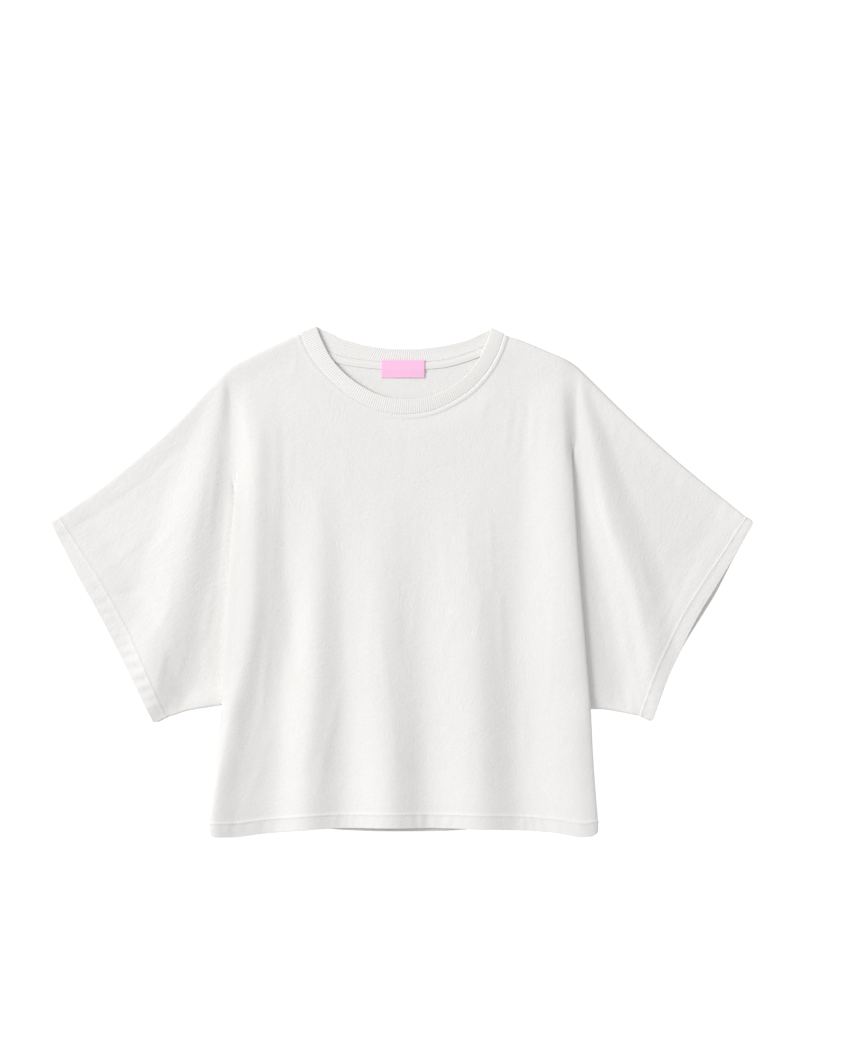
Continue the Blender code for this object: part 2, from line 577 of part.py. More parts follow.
def neck_rib(material):
    """The closed rib band: front over the neckline, folded at both shoulders, back below."""
    front_seam, front_edge = curve(NECK_SEAM_FRONT), curve(NECK_EDGE_FRONT)
    back_seam, back_edge = curve(NECK_SEAM_BACK), curve(NECK_EDGE_BACK)
    rows = []
    ribs = []

    def stretch(seam, edge, shares, heights, stand):
        for share, height, lift in zip(shares, heights, stand):
            rows.append([(*seam(share), height), (*edge(share), height + lift)])

    def fold(share, away, from_z, to_z):
        middle, radius = (from_z + to_z) / 2, abs(from_z - to_z) / 2
        for angle in np.radians([45.0, 90.0, 135.0]):
            z = middle + np.sign(from_z - to_z) * radius * np.cos(angle)
            out = np.array(away) * radius * np.sin(angle)
            rows.append([(*(front_seam(share) + out), z), (*(front_edge(share) + out), z)])
            ribs.append(0.0)

    def rib_count(seam, edge):
        shares = np.linspace(0.0, 1.0, 200)
        middle = (seam(shares) + edge(shares)) / 2
        length = np.linalg.norm(np.diff(middle, axis=0), axis=1).sum()
        return 2 * int(round(length / RIB_PITCH))
    count = rib_count(front_seam, front_edge)
    shares = np.linspace(0.0, 1.0, count + 1)
    stretch(front_seam, front_edge, shares, np.full(count + 1, RIB_FRONT_MID),
            RIB_STAND * np.sin(np.pi * shares) ** 0.6)
    ribs += [RIB_HEIGHT * (index % 2) for index in range(count + 1)]
    fold(1.0, (0.37, 0.93), RIB_FRONT_MID, RIB_BACK_MID)
    count = rib_count(back_seam, back_edge)
    shares = np.linspace(1.0, 0.0, count + 1)
    stretch(back_seam, back_edge, shares, np.full(count + 1, RIB_BACK_MID), np.zeros(count + 1))
    ribs += [-RIB_HEIGHT * (index % 2) for index in range(count + 1)]
    fold(0.0, (-0.39, 0.92), RIB_BACK_MID, RIB_FRONT_MID)

    points = np.array(rows)
    total = len(points)
    cells = []
    for row in range(total):
        after = (row + 1) % total
        cells.append((2 * row, 2 * after, 2 * after + 1, 2 * row + 1))
    ribs = np.repeat(ribs, 2)
    outer = RIB_CLOTH / 2 + np.maximum(ribs, 0.0)
    inner = RIB_CLOTH / 2 + np.maximum(-ribs, 0.0)
    return wall("neck_rib", points.reshape(-1, 3), cells, outer, inner, material)


def neck_tape(material):
    """The narrow tape over the back neck seam, on the back panel's inside."""
    shares = np.linspace(0.13, 0.87, 29)
    seam = curve(NECK_SEAM_BACK)
    along = seam(shares + 0.01) - seam(shares - 0.01)
    down = np.stack([along[:, 1], -along[:, 0]], axis=-1)
    down /= np.linalg.norm(down, axis=-1, keepdims=True)
    z = CLOTH + GAP + TAPE_CLOTH / 2
    grid = np.stack([np.column_stack([seam(shares) + down * out, np.full(len(shares), z)])
                     for out in (GAP, TAPE_WIDTH)])
    cells = grid_cells(np.ones(grid.shape[:2], bool))
    half = np.full(grid.shape[0] * grid.shape[1], TAPE_CLOTH / 2)
    return wall("neck_tape", grid.reshape(-1, 3), cells, half, half, material)


def label(material):
    """The small woven label: its top lies on the tape, its foot on the back panel."""
    on_tape = CLOTH + GAP + TAPE_CLOTH + GAP + LABEL_CLOTH / 2
    on_back = CLOTH + GAP + LABEL_CLOTH / 2
    width, depth = LABEL_SIZE
    x, down = np.meshgrid(np.linspace(-width / 2, width / 2, 7), np.array([0.0, 5.0, 10.5, 14.5, depth]))
    z = on_tape + (on_back - on_tape) * smooth(10.5, depth, down)
    grid = np.stack([x + LABEL_CENTRE[0], LABEL_CENTRE[1] + depth / 2 - down, z], axis=-1)
    cells = grid_cells(np.ones(grid.shape[:2], bool))
    half = np.full(x.size, LABEL_CLOTH / 2)
    return wall("label", grid.reshape(-1, 3), cells, half, half, material)


def main():
    for thing in list(bpy.data.objects):
        bpy.data.objects.remove(thing)
    jersey = cloth("white cotton jersey", (0.84, 0.835, 0.82), 0.9)
    rib = cloth("white cotton rib", (0.82, 0.815, 0.80), 0.92)
    tape = cloth("white cotton tape", (0.83, 0.825, 0.81), 0.85)
    satin = cloth("pink woven satin", (0.95, 0.50, 0.72), 0.6)
    front_panel(jersey)
    back_panel(jersey)
    neck_rib(rib)
    neck_tape(tape)
    label(satin)


main()
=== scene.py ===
"""The finished look of a wide jersey t-shirt that lies flat on its back.

Every table is in millimetres, in the frame's own axes: +Y towards the neck,
+X to the viewer's right, +Z up. cloth_wall() turns points to metres.
"""
import math

import bpy
import numpy as np
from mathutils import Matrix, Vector, noise


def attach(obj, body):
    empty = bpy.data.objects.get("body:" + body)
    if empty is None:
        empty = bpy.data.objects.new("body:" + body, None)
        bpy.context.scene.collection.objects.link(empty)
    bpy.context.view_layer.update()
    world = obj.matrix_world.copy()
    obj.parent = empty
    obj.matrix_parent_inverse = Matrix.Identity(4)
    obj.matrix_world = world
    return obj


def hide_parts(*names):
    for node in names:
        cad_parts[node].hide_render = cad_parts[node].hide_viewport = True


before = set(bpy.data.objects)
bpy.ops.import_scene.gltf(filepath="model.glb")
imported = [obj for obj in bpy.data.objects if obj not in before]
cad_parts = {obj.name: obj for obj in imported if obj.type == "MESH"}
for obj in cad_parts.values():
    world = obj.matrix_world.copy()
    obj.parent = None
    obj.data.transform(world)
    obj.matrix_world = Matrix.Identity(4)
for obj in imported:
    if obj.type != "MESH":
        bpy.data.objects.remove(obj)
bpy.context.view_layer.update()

# ---------------------------------------------------------------- sizes
MM = 0.001
CLOTH = 1.2             # jersey wall, as in the solids
HEM_CLOTH = 2.0         # a turned hem, two layers pressed together
RIB_CLOTH = 1.4
TAPE_CLOTH = 0.5
LABEL_CLOTH = 0.5
GAP = 0.3               # between pieces that are sewn together
HEM_DEPTH = 15.0        # cloth turned in along the body's lower edge
STEP = 1.5              # strip before it, where the cloth comes up onto the hem
STITCH_AT = 2.4         # the hem's stitches, from the start of that strip
HEM_STEP = (0.7, 0.65, -0.12)   # relief of the hem: height, share lost at the stitches, then the rise
HEM_PUCKER = (0.22, 0.0)        # height and phase of the waves that the stitches draw
PUCKER_WAVE = 12.5
CORNER = 5.0            # the rounded corners of the hem and the cuffs
PUFF = 2.0              # how high the loose front lies over the back
EDGE_PUFF = 1.4         # and along a closed edge, where the fold stands a little
EDGE_DIP = 0.8          # between the two it sinks
EDGE_ROUND = 4.5        # width of a closed edge's round
DIP_START, DIP_LOW, DIP_END = 3.0, 26.0, 90.0   # the dip, in distance from the edge
PUFF_START = 20.0       # the rise to the full puff starts here and ends with the dip
RUMPLE = (34.0, 0.12, 0.0)      # size, height and layer of the noise
FINE_RUMPLE = (11.0, 0.12, 5.0)
ROLL = 1.8              # how far the body's right fold turns down
ROLL_WIDTH = 7.0
PRESS = 0.55            # the cloth is pressed thinner at the body's left fold
PRESS_WIDTH = 5.0
PRESS_COLUMNS = 8       # columns that this reaches
SIDE_TUCK = 0.8         # how far the front's sides lean in, below the sleeves
PLEAT_DEPTH = {"left": 14.0, "right": 16.0}     # cloth under the body's edge, at the underarm
PLEAT_TOP = {"left": 122.0, "right": 158.0}     # y where each pleat begins
PLEAT_FADE = 42.0       # length over which it closes
PLEAT_OUT = 13.0        # the sleeve's grid starts this far out, past the pleat's section
PLEAT_SINK = 0.3        # the section ends this much under the sleeve
SHOULDER_Y = 224.0      # ends of the shoulders, where the sleeves begin
SLEEVE_END_Y = -132.0   # the last row of the grids that runs through the sleeves
UNDERARM_Y = {"left": -130.5, "right": -134.7}
RIB_PITCH = 2.25        # a little coarser than a real 1x1 rib, so that the ribs show
RIB_HEIGHT = 0.22
RIB_STAND = 1.3         # how far the front band rises towards its free edge
RIB_STAND_LEFT = 1.5    # times that, near the left end
RIB_DOME = 0.25         # how far the band's middle bulges
RIB_SEAM_SHARE = 0.3    # what is left of the ribs' height in the seam
RIB_TURN = {"left": (-0.39, 0.92), "right": (0.37, 0.93)}   # way in which the band's ends turn over
NECK_STRIP = 8.0        # width of the strip round the neck that has its own rows
NECK_BLEND = 25.0       # the front comes up to the rib over this length
NECK_RIDGE = 0.8        # the seam's turned edge lifts the jersey beside the rib
NECK_RIDGE_LEFT = 0.3   # share of that on the left, where it lies flatter
NECK_RIDGE_X = (-40.0, 60.0)    # over this x it comes up to its full height
NECK_STITCH_AT = 2.3
NECK_GROOVE = 0.2       # the neck's stitches pull the ridge down
TAPE_ENDS = (0.12, 0.915)       # shares of the back neck seam
TAPE_CROWN = 0.25       # how far the tape's middle bulges
TAPE_STITCHES = (1.5, 6.5)      # its two rows of stitches, from the seam
TAPE_GROOVE = 0.15
LABEL_SIZE = (45.7, 18.3)
LABEL_CENTRE = (1.0, 222.4)
LABEL_ON_TAPE = 8.5     # its upper part, which lies on the tape
LABEL_OFF_BACK = 0.1    # its free edge stays this far off the back
LABEL_WAVE = 0.25       # and waves this much
SELVEDGE = (1.2, 0.12)  # width and height of the label's turned ends
STITCH_PITCH = 2.8
STITCH_LENGTH = 2.3
THREAD = 0.5
STITCH_LIFT = -0.08     # the threads sink a little into the knit

# Middle surfaces of the layers as they lie
BACK_MID = CLOTH / 2
FRONT_MID = CLOTH + GAP + CLOTH / 2
RIB_BACK_MID = RIB_CLOTH / 2
RIB_FRONT_MID = CLOTH + GAP + TAPE_CLOTH + GAP + RIB_CLOTH / 2
HEM_RISE = (HEM_CLOTH - CLOTH) * 2      # the second layers of both hems lift the front
HEM_SLOPE = 45.0        # the cloth comes up to the thick hem over this length
CUFF_SLOPE = 30.0

# Outlines in plan: x, y
SHOULDER = {
    "left": [(-182.7, 223.9), (-177.5, 227.6), (-153.3, 240.2), (-126, 252.8), (-107.8, 259.9)],
    "right": [(108.6, 258.2), (125, 252.4), (154.3, 240.2), (173.2, 231.8), (184.8, 223.9)],
}
NECK_SEAM_FRONT = [
    (-107.1, 259.6), (-101.9, 245.8), (-91.4, 228.3), (-75.6, 210.8), (-56.4, 195), (-35.4, 182.8),
    (-12.6, 176), (8.4, 175.2), (30.2, 178.4), (51.5, 187.4), (71.4, 200.4), (88.6, 218.8),
    (100.2, 238.5), (107, 258)]
NECK_EDGE_FRONT = [
    (-90, 266.6), (-83.5, 251), (-73.8, 232.8), (-56.4, 214.3), (-33.6, 199.4), (-12.6, 191.9),
    (8.4, 190.5), (31.2, 194.2), (50.4, 202.9), (67.9, 216), (80.1, 231.8), (88.9, 249.3), (93.4, 264)]
NECK_SEAM_BACK = [
    (-107.1, 259.6), (-96, 250), (-73.5, 239.1), (-54.6, 233.9), (-23.1, 230.2), (3.2, 229.7),
    (39.9, 231.3), (66.2, 238.1), (87.2, 246.5), (107.8, 258)]
NECK_EDGE_BACK = [
    (-90, 266.6), (-74.5, 259.6), (-59.9, 252.8), (-28.4, 245.4), (3.2, 243.3), (34.6, 245.4),
    (66.2, 252), (81.9, 259), (93.4, 264)]
SLEEVE_TOP = {
    "left": [(-182.7, 223.9), (-206.9, 199.2), (-235.2, 168.8), (-269.9, 137.3), (-308.7, 105.8),
             (-338.1, 84.8), (-369.6, 62.7)],
    "right": [(184.8, 223.9), (198.5, 210.8), (231, 179.3), (265.7, 147.8), (302.4, 116.3),
              (342.3, 84.8), (369.6, 62.7)],
}
CUFF = {
    "left": [(-369.6, 62.7), (-343.4, 11.3), (-317.1, -36.5), (-290.9, -87.4), (-264.6, -141),
             (-258.3, -149.4)],
    "right": [(369.6, 62.7), (354.9, 36.5), (331, -10.3), (318.4, -31.3), (299.2, -62.2),
              (282.4, -93.7), (266.7, -135.7), (262.5, -148.3)],
}
UNDERARM = {
    "left": [(-189, -130.5), (-211.1, -135.7), (-226.8, -139.9), (-242.6, -146.2), (-258.3, -149.4)],
    "right": [(197.2, -134.7), (211.1, -136.2), (228.9, -141), (247.8, -146.2), (262.5, -148.3)],
}
HEM_FRONT = [
    (-200.6, -268), (-173.2, -268), (-155.4, -265.9), (-123.9, -262.8), (-75.6, -259.6), (3.2, -259.1),
    (81.9, -260.1), (151.2, -262.8), (186.9, -267.6), (204.8, -265.9)]
HEM_BACK = [
    (-200.6, -267.4), (-173.2, -267.3), (-155.4, -265.2), (-120, -261.8), (-85, -260), (-62, -261.6),
    (-30, -263), (3.2, -263.2), (40, -262.8), (64, -261.4), (90, -259.8), (151.2, -262.2),
    (186.9, -266.9), (204.8, -265.3)]
# y, then x of the left and of the right edge
BODY_SIDES = np.array([
    (224, -182.6, 184.7), (205, -178.5, 175.5), (169, -174.5, 176.5), (137, -172.2, 177.5),
    (85, -176, 180.6), (30, -180.3, 184), (-20, -183.8, 188), (-83, -187, 193.2),
    (-132, -189.1, 197.2), (-178, -193.8, 199.5), (-220, -198.5, 202.3), (-252, -201.6, 204.8)])
# share of the cuff's length, then the depth of the left and of the right cuff's hem
CUFF_HEM = np.array([(0, 10, 9), (0.3, 18, 14), (0.6, 19, 15), (1, 14, 14)])
CUFF_INSET = 3.9        # how far the right cuff's front lies back, so that the back peeks out
INSET_FROM, INSET_OVER = 0.12, 0.6      # in shares of the cuff's length
CUFF_PUCKER = {"left": (0.5, 2.2), "right": (0.25, 0.4)}                # as HEM_PUCKER
CUFF_STEP = {"left": (0.42, 0.45, 0.15), "right": (0.42, 0.55, 0.4)}    # as HEM_STEP

# ---------------------------------------------------------------- folds
FOLD_STATIONS = np.array([170, 105, 40, -50, -125, -185, -268])
FOLD_FULL_Y = -115.0            # from here down the folds have their full height
HEM_FOLD_Y = (-90.0, -215.0)    # between these they go over to their height at the hem
BODY_FOLDS = [
    # name, height, height at the hem, y where it begins, x at the stations
    ("left trough", 0.6, 1.6, 160, (-125, -120, -121.5, -118.5, -128, -131, -137)),
    ("second crest", 6.2, 6.8, 125, (-84, -85, -87, -90, -92, -98, -100)),
    ("second trough", 1.7, 0.3, 125, (-68, -66, -62, -60, -60, -60, -60)),
    ("middle crest", 6.1, 8.2, 110, (-21, -21, -22, -21, -18, -13.5, -12)),
    ("middle trough", 1, 0.4, 110, (19, 19.5, 20, 21, 25, 27, 31)),
    ("fourth crest", 6.6, 7.2, 120, (71, 71, 69, 76, 79, 81, 83)),
    ("fourth trough", 0.3, 0.2, 160, (123, 123, 121, 120, 121, 123, 128)),
]
# Lines along the two sides, at their own stations: x, then height over the
# lying cloth. The body's edge has its x from BODY_SIDES.
LINE_Y = np.array([215, 190, 148, 106, 64, 22, -20, -62, -104, -140, -178, -215, -268])
SIDE_LINES = {
    "left": {
        "body step": ((-142, -141, -139, -138, -138.5, -138.5, -139.5, -142, -147, -154, -160,
                       -168, -172),
                      (0.1, 0.5, 1.3, 2, 2.8, 3.4, 3.9, 3.8, 3.8, 4.2, 5.3, 6, 6.3)),
        "body crest": ((-162, -159, -152, -152.5, -154.5, -155.5, -157, -161.5, -170, -178.5, -186,
                        -194, -199),
                       (0.2, 0.9, 2.6, 4, 5.3, 6.5, 7.6, 8.4, 9, 9.9, 11.2, 11.8, 11.9)),
        "body edge": (None, (0, 0, 0.4, 1.5, 3.1, 4.4, 5.3, 6.2, 6.9, 7.9, 10, 11, 11.5)),
        "groove": ((-183, -179.5, -179, -180, -184, -188, -194.5, -203, -214, -236),
                   (0, -0.8, -1.2, -0.8, 0, 0.2, 0.4, 0.1, -0.6, -1)),
        "inner": (None, (0, -0.7, -1.1, -0.5, 0.8, 0.7, 0.3, 0, 0.4, 1.4)),
        "ridge": ((-189, -190.5, -199.5, -209, -218.5, -227, -236.2, -250, -263, -266),
                  (0.7, 1.3, 2.2, 4.2, 5.5, 6.1, 6.5, 6.7, 6.4, 5.2)),
        "foot": ((-203, -209, -226.8, -245.7, -262.5, -277.2, -287.7, -296, -303, -306),
                 (-0.6, -0.4, 0, 0.4, 0.6, 0.6, 0.6, 1.2, 2.6, 2.4)),
    },
    "right": {
        "body crest": ((166, 166.5, 169, 170, 172, 175, 178.5, 181.5, 183, 184, 186, 188, 193),
                       (1, 3.2, 5, 6.2, 7.2, 8, 8.6, 9, 9.2, 9.2, 9, 8.8, 8.8)),
        "body edge": (None, (0.2, 0.8, 3.6, 5.6, 6.6, 7.4, 8, 8.4, 8.6, 8.4, 8, 7.7, 7.7)),
        "groove": ((184, 183, 184, 186, 193, 203, 212, 220, 229, 236),
                   (0, 0, -0.1, -0.2, -0.6, -1.1, -1.5, -1.6, -1.6, -1.6)),
        "inner": (None, (0, 0, -0.1, 0, 0.4, 0.9, 1.3, 1.6, 1.7, 1.7)),
        "ledge": ((187, 188, 192.5, 198, 207, 220, 232, 241, 249, 254),
                  (0.2, 0.7, 1.1, 1.5, 2, 1.9, 1.7, 1.3, 0.4, -0.4)),
        "ridge": ((189, 190.5, 200.5, 209, 218, 234, 248, 257, 263, 267),
                  (0.5, 1, 2.1, 3.3, 4.8, 5, 4.7, 4, 2.1, 0.6)),
        "foot": ((198, 202.7, 221.6, 236, 256, 271, 285, 288, 290, 292),
                 (-1, -1, -1.2, -1.1, -0.6, -0.4, -0.5, -0.5, 0.2, 0.6)),
        "outer": ((230, 240, 262, 300, 350, 345, 325, 305, 300, 300),
                  (-1.2, -1.2, -1.2, -1.2, -1.2, -1.2, -0.8, -0.2, 0, 0)),
    },
}
# The lines in the order of their x, from an outer end to the middle of the body
SLEEVE_LINES = {"left": ("foot", "ridge", "groove"), "right": ("outer", "foot", "ridge", "ledge", "groove")}
BODY_LINES = {"left": ("body crest", "body step"), "right": ("body crest",)}
# Small creases, given one by one: start x, y, end x, y, height (a trough is
# negative), half width
CREASES = [
    # chest, from the left shoulder to the right
    (-167, 190, -160, 147, 0.32, 7), (-132, 168, -130, 70, 0.2, 7), (-115.5, 158, -120, 92, 0.15, 6),
    (-109, 246, -114, 218, 0.25, 6), (-101, 240, -97, 214, -0.15, 6), (-93, 95, -84, 52, 0.28, 9),
    (-57, 150, -60, 105, 0.1, 7), (-8, 102, -10, 40, 0.15, 7), (18, 90, 14, 22, 0.15, 6),
    (40, 64, 47, -10, 0.17, 6), (66, 64, 71, 6, 0.25, 6), (92, 74, 95, -10, 0.25, 6),
    (89, 195, 82, 158, 0.17, 6), (115, 186, 108, 138, 0.23, 6), (128, 195, 120, 132, 0.23, 6),
    (141, 190, 134, 126, 0.2, 6), (153, 182, 148, 130, 0.15, 6), (104, 222, 106, 190, -0.15, 8),
    # body, from the left side to the right
    (-141, -52, -147, -146, 0.28, 7), (-120, -62, -121, -128, 0.15, 7), (-140, -160, -154, -220, 0.18, 7),
    (-160, -172, -171, -216, 0.14, 6), (-150, -198, -163, -232, 0.17, 6), (-172, -222, -182, -246, 0.15, 6),
    (-64, -112, -80, -176, 0.36, 7.5), (-79, -172, -90, -228, 0.3, 8), (-56, -20, -50, -100, 0.15, 7),
    (-34, -40, -36, -110, 0.12, 7), (-23, -60, -12, -128, 0.25, 7), (-10, -128, -6, -196, 0.2, 7),
    (2, 0, 3, -72, -0.2, 7), (17, 4, 12, -58, 0.17, 6), (56, -20, 40, -84, 0.15, 6),
    (52, -96, 34, -150, 0.1, 7), (84, -10, 78, -64, 0.23, 6), (103, -8, 106, -94, 0.28, 6.5),
    (128, -122, 130, -190, 0.17, 7), (158, -20, 155, -124, 0.15, 7), (142, 8, 146, -64, 0.1, 7),
    (72, -150, 66, -214, 0.12, 7),
    # left sleeve
    (-192, 137, -204, 42, 0.35, 6.5), (-227, 30, -212, 69, 0.17, 7), (-240, 6, -250, -48, 0.2, 7),
    (-197, -4, -208, -62, 0.35, 7.5), (-207, -66, -204, -92, 0.25, 7), (-248, -72, -259, -120, 0.42, 7),
    (-233, -122, -242, -138, 0.35, 7), (-257, 118, -237, 137, -0.28, 7), (-275, 93, -254, 118, -0.25, 6.5),
    (-347, 55, -313, 72, -0.35, 7), (-322, 72, -286, 90, -0.25, 6.5), (-311, -18, -277, -10, -0.32, 6.5),
    (-328, 27, -296, 53, 0.17, 7), (-317, 6, -275, 43, 0.15, 7), (-296, 22, -254, 64, 0.2, 7),
    (-285, 43, -249, 80, 0.17, 7), (-307, 85, -265, 116, 0.2, 7), (-286, 85, -244, 122, 0.17, 7),
    (-333, 80, -296, 106, 0.15, 6.5), (-265, 22, -233, 64, 0.2, 7), (-291, -41, -265, -4, 0.2, 7),
    (-265, -62, -238, -20, 0.2, 7), (-249, 85, -233, 127, 0.15, 7), (-225, -58, -236, -104, 0.2, 7),
    # right sleeve
    (302, 116, 286, 80, 0.23, 6.5), (227, 169, 220, 148, 0.2, 6.5), (240, 158, 232, 132, 0.2, 6.5),
    (252, 146, 245, 120, 0.2, 6.5), (267, 132, 260, 108, 0.17, 6.5), (281, 120, 272, 94, 0.15, 6.5),
    (344, 88, 335, 62, 0.42, 6), (358, 76, 350, 56, 0.35, 6), (330, 54, 302, 26, -0.2, 7),
    (313, 26, 288, -10, -0.25, 7), (300, 4, 283, -31, -0.25, 6.5), (284, -30, 271, -53, -0.25, 6.5),
    (318, 74, 296, 40, 0.15, 7), (296, 62, 276, 22, 0.12, 7), (220, 43, 238, -20, 0.2, 7),
    (238, 22, 256, -64, 0.2, 7), (208, -10, 222, -84, 0.2, 7), (229, -42, 248, -116, 0.17, 7),
    (249, 22, 262, -22, 0.28, 6.5), (226, -112, 231, -134, 0.25, 6.5), (238, -114, 243, -138, 0.25, 6.5),
    (251, -118, 255, -140, 0.2, 6.5),
    # short waves that the seam draws into the hem
    (-68, -244, -71, -262, 0.35, 4.5), (-60, -244, -62, -262, 0.3, 4.5), (-52, -244, -53, -260, 0.25, 4.5),
    (10, -244, 12, -262, 0.3, 4.5), (19, -244, 22, -262, 0.3, 4.5), (126, -246, 128, -264, 0.4, 4.5),
    (134.5, -246, 137, -264, 0.4, 4.5), (143, -246, 146, -264, 0.35, 4.5), (160, -247, 163, -264, 0.2, 5),
    (185, -250, 188, -264, 0.3, 5), (-150, -250, -152, -266, 0.2, 5), (-180, -250, -184, -264, 0.25, 5),
]
PLEAT = [
    # where it is open: distance out; where it is closed: distance out, share of
    # the depth taken off that, and height
    (1.2, -1.2, 0, 3),
    (2.6, -0.5, 0.5, 2.5),
    (4, 0.8, 1, 2.2),
    (5.6, 0, 1, 1.1),
    (7.6, 0.8, 1, 0),
    (9, -0.5, 0.45, 0.3),
    (11, 1.8, 0, None),        # back at the height at which the sleeve lies
]

# ---------------------------------------------------------------- grids
SIDE_FADE = 5           # how fast the body's inner columns let go of the shape of its sides
SHOULDER_COLUMNS = 28
NECK_COLUMNS = 94
SLEEVE_COLUMNS = 56
ARM_ROWS = 110
SIDE_ROWS = 42          # below the sleeves
BACK_COLUMNS = (14, 60)
BACK_ROWS = (56, 22)
BACK_SLEEVE_COLUMNS = 24
HEM_AIM, CUFF_AIM = 40, 3       # the points this far from a corner show the way of its edge
SLEEVE_AIM = 0.12       # share of a sleeve at which its direction from the body is taken
TUCK_SHARES = (0.35, 0.7, 1.0)  # columns that close the front's sides below the sleeves
TUCK_RISE = (0.6, 0.75)         # shares of the way down over which these come up onto the hem
EDGE_SHARES = (0.0, 0.03, 0.2, 0.55)     # columns close to the body's folded edge
# rows of a turned hem, from the start of its step to its edge
HEM_ROWS = np.array([0.5, 1.0, 1.6, 2.4, 3.2, 3.8, 4.4, 5.2, 7.0, 9.0, 11.0, 13.0, 14.6, 15.6, 16.2, 16.5])
HEM_COUNT = len(HEM_ROWS)
# rows of the neck strip and of the tape, from the seam
NECK_ROWS = np.array([0.0, 0.7, 1.5, 2.3, 3.1, 3.9, 4.7, 5.5, 6.6])
TAPE_ROWS = np.array([0.2, 0.5, 1.0, 1.5, 2.2, 4.0, 5.8, 6.5, 7.0, 7.5, 7.9])
TAPE_COLUMNS = 115
LABEL_GRID = (47, 20)
RIB_SECTION = 0.35      # between two sections along the rib band
RIB_ACROSS = np.array([0.0, 0.06, 0.2, 0.4, 0.6, 0.8, 0.9, 0.96, 1.0])     # share from seam to free edge


def smooth(start, end, value):
    """Runs from 0 at start to 1 at end with soft ends."""
    share = np.clip((value - start) / (end - start), 0.0, 1.0)
    return share * share * (3.0 - 2.0 * share)


def quarter_round(distance, width):
    """Height share of a round edge: 0 at the edge, 1 from width inwards."""
    share = 1.0 - np.clip(distance / width, 0.0, 1.0)
    return np.sqrt(1.0 - share * share)


def cubic(share, start, end, slope_in, slope_out):
    """A smooth step from start to end with the given slopes at its two ends."""
    return ((2 * share**3 - 3 * share**2 + 1) * start + (share**3 - 2 * share**2 + share) * slope_in
            + (3 * share**2 - 2 * share**3) * end + (share**3 - share**2) * slope_out)


def hermite(share, before, start, end, after):
    """A smooth step from start to end, its slopes set by the neighbours."""
    return cubic(share, start, end, (end - before) / 2, (after - start) / 2)


def curve(points):
    """A smooth line through points, as a function of the share of its length."""
    points = np.array(points, float)
    ends = np.vstack([2 * points[0] - points[1], points, 2 * points[-1] - points[-2]])
    share = np.linspace(0.0, 1.0, 25)[:-1, None]
    fine = [hermite(share, *four) for four in zip(ends, ends[1:], ends[2:], ends[3:])]
    fine = np.vstack(fine + [points[-1:]])
    length = np.concatenate([[0.0], np.cumsum(np.linalg.norm(np.diff(fine, axis=0), axis=1))])

    def at(part):
        where = np.asarray(part) * length[-1]
        return np.stack([np.interp(where, length, fine[:, axis]) for axis in (0, 1)], axis=-1)
    at.length = length[-1]
    return at


def track(y, stations, values):
    """A smooth value down the shirt, through the values at falling stations."""
    falling = -np.asarray(stations, float)
    values = np.asarray(values, float)
    slopes = np.gradient(values, falling)
    depth = np.clip(-np.asarray(y, float), falling[0], falling[-1])
    first = np.clip(np.searchsorted(falling, depth) - 1, 0, len(falling) - 2)
    span = falling[first + 1] - falling[first]
    share = (depth - falling[first]) / span
    return cubic(share, values[first], values[first + 1], span * slopes[first], span * slopes[first + 1])


def side_x(y, side):
    """x of the body's left or right edge at that height of the shirt."""
    return track(y, BODY_SIDES[:, 0], BODY_SIDES[:, 1 if side == "left" else 2])


def distance_to(points, line, samples=40):
    """Distance in plan from points to a line given as a function of its length."""
    ends = line(np.linspace(0.0, 1.0, samples))
    best = np.full(points.shape[:-1], np.inf)
    for start, end in zip(ends[:-1], ends[1:]):
        best = np.minimum(best, distance_to_segment(points, start, end)[0])
    return best


def distance_to_segment(points, start, end):
    """Distance in plan to a segment, and the share of its length at the foot."""
    along = np.asarray(end) - np.asarray(start)
    share = ((points[..., :2] - start) @ along) / (along @ along)
    foot = start + np.clip(share, 0.0, 1.0)[..., None] * along
    return np.linalg.norm(points[..., :2] - foot, axis=-1), share


def patch(top, bottom, first, last, across, down, fade):
    """Points ruled from a top edge to a bottom edge, pulled onto its two ends."""
    across_share, down_share = across, down
    across, down = across[..., None], down[..., None]
    ruled = (1 - down) * top(across_share) + down * bottom(across_share)
    first_pull = first(down_share) - ((1 - down) * top(0.0) + down * bottom(0.0))
    last_pull = last(down_share) - ((1 - down) * top(1.0) + down * bottom(1.0))
    return ruled + (1 - across) ** fade * first_pull + across ** fade * last_pull


def moved_off(seam, distance):
    """The neck seam line, moved away from the rib into the panel."""
    points = np.array(seam)
    along = np.gradient(points, axis=0)
    away = np.stack([along[:, 1], -along[:, 0]], axis=-1)
    away /= np.linalg.norm(away, axis=-1, keepdims=True)
    return curve(points + away * distance)


def rounded(points, corner, first, second, radius):
    """Plan points with the corner of an outline, between two points on its edges, rounded off."""
    sides = []
    for end in (first, second):
        side = np.asarray(end, float) - corner
        sides.append(side / np.linalg.norm(side))
    share = (points - corner) @ np.linalg.inv(np.array(sides)) / radius
    away = np.clip(1.0 - share, 0.0, 1.0)
    near = np.all((share < 1.0) & (share > -0.5), axis=-1)
    pulled = away * np.sqrt(1.0 - away[..., ::-1] ** 2 / 2)
    moved = corner + (1.0 - pulled) * radius @ np.array(sides)
    return np.where(near[..., None], moved, points)


